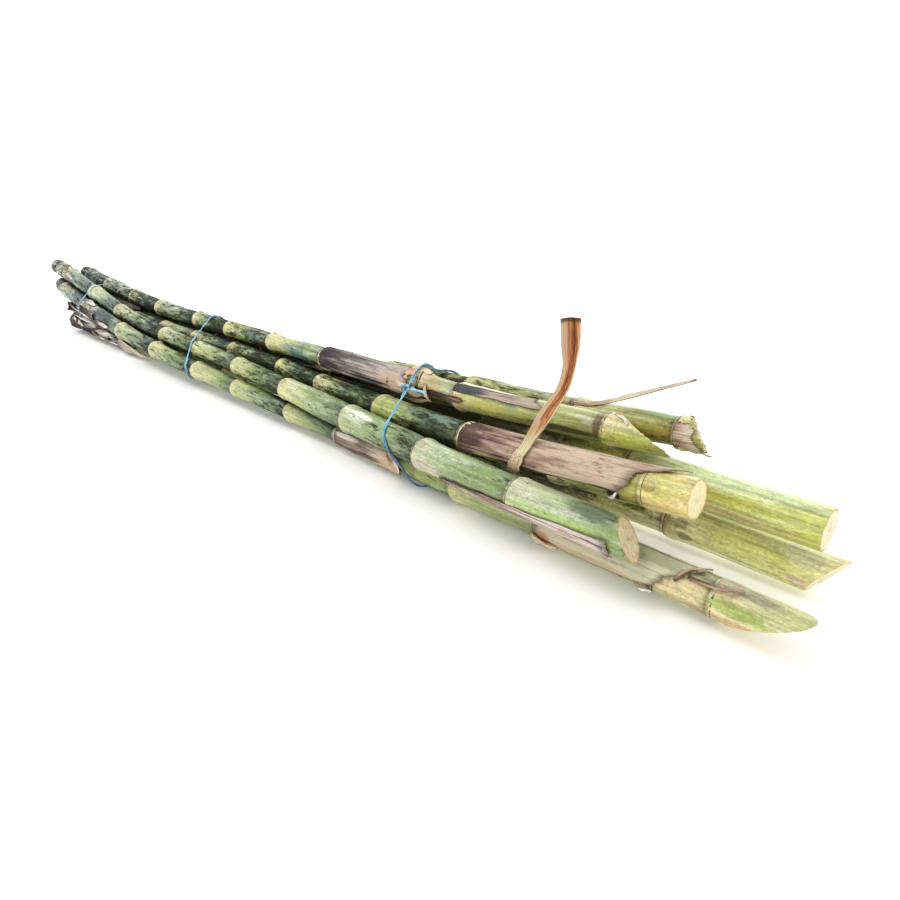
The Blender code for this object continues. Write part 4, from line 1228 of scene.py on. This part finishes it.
def twine_material(kind):
    """Split plastic film twisted into twine: shiny blue fibres, paler where it is scuffed."""
    deep, light, dusty = TWINE_COLOURS[kind]
    web = Web("twine_" + kind)
    fibres = web.grain(40.0, 14.0, 3.0, 0.6)
    wear = web.grain(45.0, 2.0, 4.0, 0.6)
    colour = web.mix(web.span(fibres, 0.35, 0.65), srgb(*deep), srgb(*light))
    colour = web.mix(web.span(wear, 0.52, 0.72, 0.0, dusty), colour, srgb(176, 200, 204))
    # Painted shade and painted highlight: navy where the twine faces down, pale cyan where it faces up
    facing = web.attribute("up")
    colour = web.mix(web.span(facing, 0.45, -0.25, 0.0, 0.75), colour, srgb(40, 62, 104))
    colour = web.mix(web.span(facing, 0.35, 0.75, 0.0, 0.45), colour, srgb(168, 212, 226))
    # The glow stands for the light that the thin film lets through
    return web.paint({"Base Color": colour, "Emission Color": colour, "Emission Strength": TWINE_GLOW,
                      "Roughness": web.span(wear, 0.3, 0.7, 0.28, 0.55),
                      "Normal": web.bump(fibres, 0.6, 0.0005)})


def grid_piece(name, columns, rows, place, thickness, material):
    """Bend a fine grid by place(u, v), which gives a point and its flat coordinates."""
    spots = [(j / columns, i / rows) for i in range(rows + 1) for j in range(columns + 1)]
    placed = [place(u, v) for u, v in spots]
    faces = grid_faces(rows + 1, columns + 1, False)
    piece = new_piece(name, np.array([tuple(point) for point, _ in placed]) + SHIFT, faces, [material])
    add_vector(piece.data, "flat", np.array([flat for _, flat in placed]))
    add_float(piece.data, "share", np.array([v for _, v in spots]))
    add_float(piece.data, "edge", np.array([min(v, 1 - v, u, 1 - u) for u, v in spots]))
    add_float(piece.data, "cross", np.array([u for u, _ in spots]))
    skin = piece.modifiers.new("thickness", "SOLIDIFY")
    skin.thickness = thickness
    skin.offset = 1.0
    skin.use_even_offset = False
    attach(piece, "root")
    return piece


def make_sheath(name, facts, material):
    cane_name, start, end, middle, span, ragged, first_extra, last_extra, _ = facts
    coarse = max(2, round(span / 15))
    columns = max(12, round(span / SHEATH_COLUMN_ANGLE))
    first_taper, last_taper = SHEATH_TAPERS.get(name, (0.0, 0.0))
    draw = random.Random(name)
    teeth = [draw.uniform(-1.0, 0.6) * ragged for _ in range(coarse + 1)]
    phases = [draw.uniform(0, TAU) for _ in range(8)]
    fray = [draw.uniform(-1.0, 0.5) for _ in range(columns + 1)]
    radius = float(body_radius(CANES[cane_name], start))

    def place(u, v):
        tooth = float(np.interp(u * coarse, range(coarse + 1), teeth))
        fine_tooth = FRAY * fray[round(u * columns)]
        far = end + tooth + fine_tooth + first_extra * (1 - u) ** 2 + last_extra * u * u
        x = start + (far - start) * v
        side_wave = 1.6 * math.sin(11 * v + phases[0]) + 0.9 * math.sin(27 * v + phases[1])
        angle = middle + span * (u - 0.5) + side_wave * (2 * u - 1)
        angle += (first_taper * (1 - u) - last_taper * u) * v
        flared = max(0.0, v - FLARE_FROM) / (1 - FLARE_FROM)
        lift = SKIN_LIFT + FLARE * flared * abs(math.sin(5 * u + 1)) + LOOSE_LIFT * (name in LOOSE_SHEATHS)
        lift += CREASE * math.sin(angle * 0.35 + 3 * v + phases[2]) * math.sin(9 * v + phases[3])
        curled = max(0.0, abs(2 * u - 1) - CURL_FROM) / (1 - CURL_FROM)
        lift += CURL * curled * (0.5 + 0.5 * math.sin(14 * v + phases[4]))
        point, _ = on_cane(cane_name, x, angle, lift)
        return point, (x + SHEATH_OFFSET, math.radians(angle) * radius, 0.0)

    piece = grid_piece(name + "_fine", columns, SHEATH_ROWS, place, SHEATH_THICKNESS, material)
    if name in SHEATHS:
        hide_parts(name)


def smooth_route(points, v):
    knots = np.linspace(0, 1, len(points))
    return Vector([float(natural_spline(knots, [p[axis] for p in points], v)) for axis in range(3)])


def make_strip(name, material, columns, rows):
    strip = STRIPS[name]
    held = [on_cane(*point) for point in strip["on_canes"]]
    face = Vector(strip["face"]).normalized()
    route = [point for point, out in held] + [Vector(point) for point in strip["free"]]
    facing = [out for point, out in held] + [face] * len(strip["free"])
    knots = np.linspace(0, 1, len(route))
    draw = random.Random(name)
    phases = [draw.uniform(0, TAU) for _ in range(6)]

    def place(u, v):
        before = smooth_route(route, max(0.0, v - STRIP_AIM))
        along = (smooth_route(route, min(1.0, v + STRIP_AIM)) - before).normalized()
        across = along.cross(smooth_route(facing, v)).normalized()
        out = across.cross(along).normalized()
        width = float(np.interp(v, knots, strip["widths"]))
        cup = float(np.interp(v, knots, strip["cups"]))
        width *= 1 + 0.07 * math.sin(17 * v + phases[0]) + 0.05 * math.sin(41 * v + phases[1])
        bend = cup * 4 * (u - 0.5) ** 2 * width * 0.5
        bend += 0.00025 * math.sin(9 * u + phases[2]) * math.sin(15 * v + phases[3])
        point = smooth_route(route, v) + across * width * (u - 0.5) + out * bend
        return point, (v * STRIP_PATTERN, (u - 0.5) * width, 0.0)

    piece = grid_piece(name + "_fine", columns, rows, place, STRIP_THICKNESS, material)
    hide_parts(name)


def make_scrap(name, points, widths, cup, material):
    """Small loose strip over points given as (stalk, X, angle, lift)."""
    held = [on_cane(*point) for point in points]
    route = [point for point, out in held]
    facing = [out for point, out in held]
    knots = np.linspace(0, 1, len(route))
    draw = random.Random(name)
    phases = [draw.uniform(0, TAU) for _ in range(4)]
    fray = [draw.uniform(-0.35, 0.35) for _ in range(SCRAP_COLUMNS + 1)]

    def place(u, v):
        before = smooth_route(route, max(0.0, v - SCRAP_AIM))
        along = (smooth_route(route, min(1.0, v + SCRAP_AIM)) - before).normalized()
        across = along.cross(smooth_route(facing, v)).normalized()
        out = across.cross(along).normalized()
        width = float(np.interp(v, knots, widths)) * (1 + 0.12 * math.sin(13 * v + phases[0]))
        run = v + 0.12 * fray[round(u * SCRAP_COLUMNS)] * max(0.0, v - 0.8) / 0.2
        bend = cup * 4 * (u - 0.5) ** 2 * width * 0.5 + 0.0005 * math.sin(7 * u + 9 * v + phases[1])
        point = smooth_route(route, min(1.0, max(0.0, run))) + across * width * (u - 0.5) + out * bend
        return point, (v * SCRAP_PATTERN + phases[2], (u - 0.5) * width, 0.0)

    grid_piece(name, SCRAP_COLUMNS, SCRAP_ROWS, place, SCRAP_THICKNESS, material)


def make_scraps():
    materials = {kind: dry_material("scrap_" + kind, *facts) for kind, facts in SCRAP_COLOURS.items()}
    for name, cane_name, kind, cup, widths, points in SCRAPS:
        make_scrap(name, [(cane_name, *point) for point in points], widths, cup, materials[kind])
    draw = random.Random("butt debris")
    for k in range(DEBRIS_COUNT):
        cane_name = draw.choice(DEBRIS_CANES)
        x = max(draw.uniform(*DEBRIS_PLACES), CANES[cane_name]["butt"] + 0.01)
        angle = draw.uniform(*DEBRIS_ANGLES)
        length = draw.uniform(*DEBRIS_LENGTHS)
        turn = draw.uniform(*DEBRIS_TURNS)
        points = [(cane_name, x + length * t, angle + turn * t,
                   DEBRIS_LIFT + DEBRIS_ARCH * math.sin(math.pi * t)) for t in (0, 0.35, 0.7, 1)]
        width = draw.uniform(*DEBRIS_WIDTHS)
        make_scrap(f"butt_scrap_{k}", points, (width * 0.6, width, width, width * 0.4),
                   draw.uniform(*DEBRIS_CUPS), materials[draw.choice(DEBRIS_KINDS)])


def outer_hull(points):
    """Corners of the convex hull of (y, z, x) points, taken in y and z."""
    ordered = sorted(points)

    def half(sequence):
        chain = []
        for point in sequence:
            while len(chain) > 1:
                a, b = chain[-2], chain[-1]
                turn = (b[0] - a[0]) * (point[1] - a[1]) - (b[1] - a[1]) * (point[0] - a[0])
                if turn > 1e-9:
                    break
                chain.pop()
            chain.append(point)
        return chain[:-1]

    return half(ordered) + half(reversed(ordered))


def tie_loop(tie):
    """Points of taut twine round the stalks, and the bundle's centre there."""
    angles = [step[0] for step in tie["way"]]
    places = [step[1] for step in tie["way"]]
    first = np.array([centre_at(name, places[0]) for name in TIE_CENTRE_OF])
    middle = first.mean(axis=0)
    candidates = []
    for name, cane in CANES.items():
        if not cane["butt"] + TIE_END_MARGIN < places[0] < cane["tip"] - TIE_END_MARGIN:
            continue
        for turn in range(0, 360, CIRCLE_STEP):
            x = places[0]
            for _ in range(3):
                y, z = centre_at(name, x)
                reach = envelope(cane, x) * TILT_ALLOWANCE + CLEARANCE + TIE_CHORD_ALLOWANCE
                reach += tie["radius"]
                y += reach * math.cos(math.radians(turn))
                z += reach * math.sin(math.radians(turn))
                way = math.degrees(math.atan2(z - middle[1], y - middle[0])) % 360
                x = float(np.interp(way, angles, places))
            candidates.append((y, z, x))
    return [Vector((x, y, z)) for y, z, x in outer_hull(candidates)], middle


def resample(points, closed, step):
    """Even points along a chain of straight runs."""
    chain = [np.array(p) for p in points]
    if closed:
        chain.append(chain[0])
    lengths = [0.0]
    for a, b in zip(chain, chain[1:]):
        lengths.append(lengths[-1] + float(np.linalg.norm(b - a)))
    count = max(4, round(lengths[-1] / step))
    at = np.linspace(0, lengths[-1], count + 1)
    stacked = np.array(chain)
    even = np.column_stack([np.interp(at, lengths, stacked[:, axis]) for axis in range(3)])
    return even[:-1] if closed else even


def twine_mesh(name, points, closed, inward, size, fibre_turns, material, seed, broad=1.0):
    """Flat twine of a width and thickness laid along points, its fibres twisted and its width uneven."""
    width, thickness = size
    points = np.asarray(points, float)
    count = len(points)
    ahead = np.roll(points, -1, 0) - np.roll(points, 1, 0)
    if not closed:
        ahead[0] = points[1] - points[0]
        ahead[-1] = points[-1] - points[-2]
    along = ahead / np.linalg.norm(ahead, axis=1, keepdims=True)
    out = points - inward
    out -= along * (out * along).sum(1, keepdims=True)
    out /= np.linalg.norm(out, axis=1, keepdims=True)
    across = np.cross(along, out)
    lengths = np.concatenate([[0], np.cumsum(np.linalg.norm(np.diff(points, axis=0), axis=1))])
    angles = np.arange(TWINE_SIDES) * TAU / TWINE_SIDES
    draw = random.Random(seed)
    phases = [draw.uniform(0, TAU) for _ in range(4)]
    uneven = 1 + 0.18 * np.sin(lengths * 210 + phases[0]) + 0.12 * np.sin(lengths * 470 + phases[1])
    uneven *= broad
    lean = 0.25 * np.sin(lengths * 120 + phases[2])
    twist = TAU * fibre_turns * lengths
    ridges = 1 + 0.10 * np.cos(5 * (angles[None, :] + twist[:, None]))
    a = np.cos(angles)[None, :] * ridges * (width / 2) * uneven[:, None]
    b = np.sin(angles)[None, :] * ridges * (thickness / 2) / uneven[:, None] ** 0.5
    right = a * np.cos(lean)[:, None] - b * np.sin(lean)[:, None]
    lifted = a * np.sin(lean)[:, None] * 0.5 + b * np.cos(lean)[:, None]
    surface = points[:, None, :] + across[:, None, :] * right[..., None] + out[:, None, :] * lifted[..., None]
    flats = np.stack([np.repeat(lengths[:, None], TWINE_SIDES, 1),
                      np.cos(angles[None, :] + twist[:, None]) * 0.4,
                      np.sin(angles[None, :] + twist[:, None]) * 0.4], -1)
    rows = count
    if closed:
        surface = np.concatenate([surface, surface[:1]])
        flats = np.concatenate([flats, flats[-1:]])
        rows += 1
    faces = grid_faces(rows, TWINE_SIDES, True).tolist()
    if not closed:
        faces.append(list(range(TWINE_SIDES))[::-1])
        faces.append([(rows - 1) * TWINE_SIDES + k for k in range(TWINE_SIDES)])
    piece = new_piece(name, surface.reshape(-1, 3) + SHIFT, faces, [material])
    add_vector(piece.data, "flat", flats.reshape(-1, 3))
    upward = np.repeat(out[:, 2:], TWINE_SIDES, 1)
    add_float(piece.data, "up", np.concatenate([upward, upward[:rows - count]]).ravel())
    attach(piece, "root")
    return piece


def make_tie(name, material, dark_material):
    tie = TIES[name]
    corners, middle = tie_loop(tie)
    points = resample(corners, True, TWINE_STEP)
    inward = np.array((float(np.mean(points[:, 0])), middle[0], middle[1]))
    radius = tie["radius"]
    out = points - inward
    out[:, 0] = 0
    out /= np.linalg.norm(out, axis=1, keepdims=True)
    ways = np.degrees(np.arctan2(points[:, 2] - middle[1], points[:, 1] - middle[0])) % 360
    broad = 1.0
    if "raised" in tie:
        angle, half_angle, height = tie["raised"]
        points = points + out * (height * hump(ways - angle, half_angle))[:, None]
    if tie["knot"] is not None:
        before, reach, amount = SPREAD
        broad = 1 + amount * hump(ways - tie["knot"] + before, reach)
    phase = np.arange(len(points)) * TAU * STRAND_TURNS / len(points)
    for k, strand in enumerate(("fine", "second")):
        weave = np.cos(phase + math.pi * k)[:, None] * np.array((1.0, 0, 0)) * radius * 0.85
        weave = weave + np.sin(phase + math.pi * k)[:, None] * out * radius * 0.30
        size = (radius * STRAND_WIDTH, radius * STRAND_THICKNESS)
        piece = twine_mesh(f"{name}_{strand}", points + weave, True, inward, size, FIBRE_TURNS,
                           material, name + strand, broad)
        if k == 0:
            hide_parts(name)
    if tie["knot"] is None:
        return
    k = int(np.argmin(abs(ways - tie["knot"])))
    place = points[k]
    out = np.array((0, place[1] - middle[0], place[2] - middle[1]))
    out /= np.linalg.norm(out)
    along = points[k + 1] - points[k]
    along /= np.linalg.norm(along)
    across = np.cross(along, out)
    # Two loops of the knot, one round the other, over the band
    knot = []
    for t in np.linspace(0, 1, 90):
        turn = TAU * 2.0 * t
        knot.append(place + out * (KNOT_LIFT + KNOT_SWING[0] * math.sin(turn * 1.5 + 0.5))
                    + along * KNOT_SWING[1] * math.cos(turn)
                    + across * KNOT_SWING[2] * math.sin(turn * 0.5 + 0.4))
    twine_mesh(name + "_knot", knot, False, inward, KNOT_SIZE, KNOT_FIBRES, dark_material, "knot")
    for turn, label, length in TAILS:
        lean = np.array((turn, 0.10, -0.10)) + out * 0.16
        lean /= np.linalg.norm(lean)
        start = place + out * TAIL_LIFT
        tail = [start + lean * length * t - out * TAIL_SAG * t * t + across * TAIL_WAVE * math.sin(5 * t)
                for t in np.linspace(0, 1, 40)]
        twine_mesh(f"{name}_tail_{label}", tail, False, inward, TAIL_SIZE, TAIL_FIBRES,
                   material if turn > 0 else dark_material, f"tail{turn}")


def make_stage():
    bpy.ops.mesh.primitive_plane_add(size=FLOOR_SIZE, location=(0, 0, -FLOOR_DROP))
    floor = bpy.context.active_object
    floor.name = "floor"
    floor.data.materials.append(Web("floor_paint").paint({
        "Base Color": (0.96, 0.96, 0.96), "Roughness": 0.9, "Specular IOR Level": 0.1,
        "Emission Color": (1.0, 1.0, 1.0), "Emission Strength": 0.10}))
    world = bpy.data.worlds.new("studio")
    bpy.context.scene.world = world
    world.use_nodes = True
    sky = world.node_tree.nodes["Background"]
    sky.inputs["Color"].default_value = (1.0, 1.0, 1.0, 1)
    sky.inputs["Strength"].default_value = SKY
    for name, place, size, power in LAMPS:
        light = bpy.data.lights.new(name, "AREA")
        light.size = size
        light.energy = power
        lamp = bpy.data.objects.new(name, light)
        lamp.location = place
        lamp.rotation_euler = (LAMP_AIM - Vector(place)).to_track_quat("-Z", "Y").to_euler()
        bpy.context.scene.collection.objects.link(lamp)
    bpy.context.scene.view_settings.view_transform = "Standard"
    bpy.context.scene.view_settings.look = "Medium High Contrast"


def make_camera():
    camera = bpy.data.cameras.new("camera")
    camera.lens = CAMERA_LENS
    camera.sensor_width = SENSOR
    camera.clip_start = 0.02
    eye = bpy.data.objects.new("camera", camera)
    eye.location = CAMERA_PLACE
    eye.rotation_euler = (math.radians(90 - CAMERA_PITCH), 0, math.radians(CAMERA_TURN))
    bpy.context.scene.collection.objects.link(eye)
    bpy.context.scene.camera = eye


def dress():
    for name in CANES:
        make_cane(name, [rind_material(name), flesh_material(name)])
    for name, facts in (SHEATHS | LOOSE_SHEATHS).items():
        radius = float(body_radius(CANES[facts[0]], facts[1]))
        marks = [((x + SHEATH_OFFSET, math.radians(angle) * radius, 0.0), half_length,
                  math.radians(half_angle) * radius, tone, strength)
                 for x, angle, half_length, half_angle, tone, strength in SHEATH_MARKS.get(name, ())]
        make_sheath(name, facts, dry_material(name + "_dry", SHEATH_COLOURS[name], facts[-1], marks))
    make_strip("leaf_upright", blade_material("leaf_upright_dry"), 20, 180)
    rib = dry_material("leaf_rib_dry", ((120, 92, 70), (176, 146, 116), (220, 204, 182)), 0.6)
    make_strip("leaf_rib", rib, 8, 120)
    make_scraps()
    twine = {kind: twine_material(kind) for kind in TWINE_COLOURS}
    for name in TIES:
        make_tie(name, twine["pale" if name == "tie_butt" else "blue"], twine["deep"])


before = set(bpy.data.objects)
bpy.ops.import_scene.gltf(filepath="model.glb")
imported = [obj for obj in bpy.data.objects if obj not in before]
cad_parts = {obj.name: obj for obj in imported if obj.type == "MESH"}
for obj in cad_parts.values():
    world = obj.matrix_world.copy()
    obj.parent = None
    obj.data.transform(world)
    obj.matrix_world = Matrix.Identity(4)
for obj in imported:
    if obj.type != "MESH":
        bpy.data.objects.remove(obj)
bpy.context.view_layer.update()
make_camera()
make_stage()
dress()
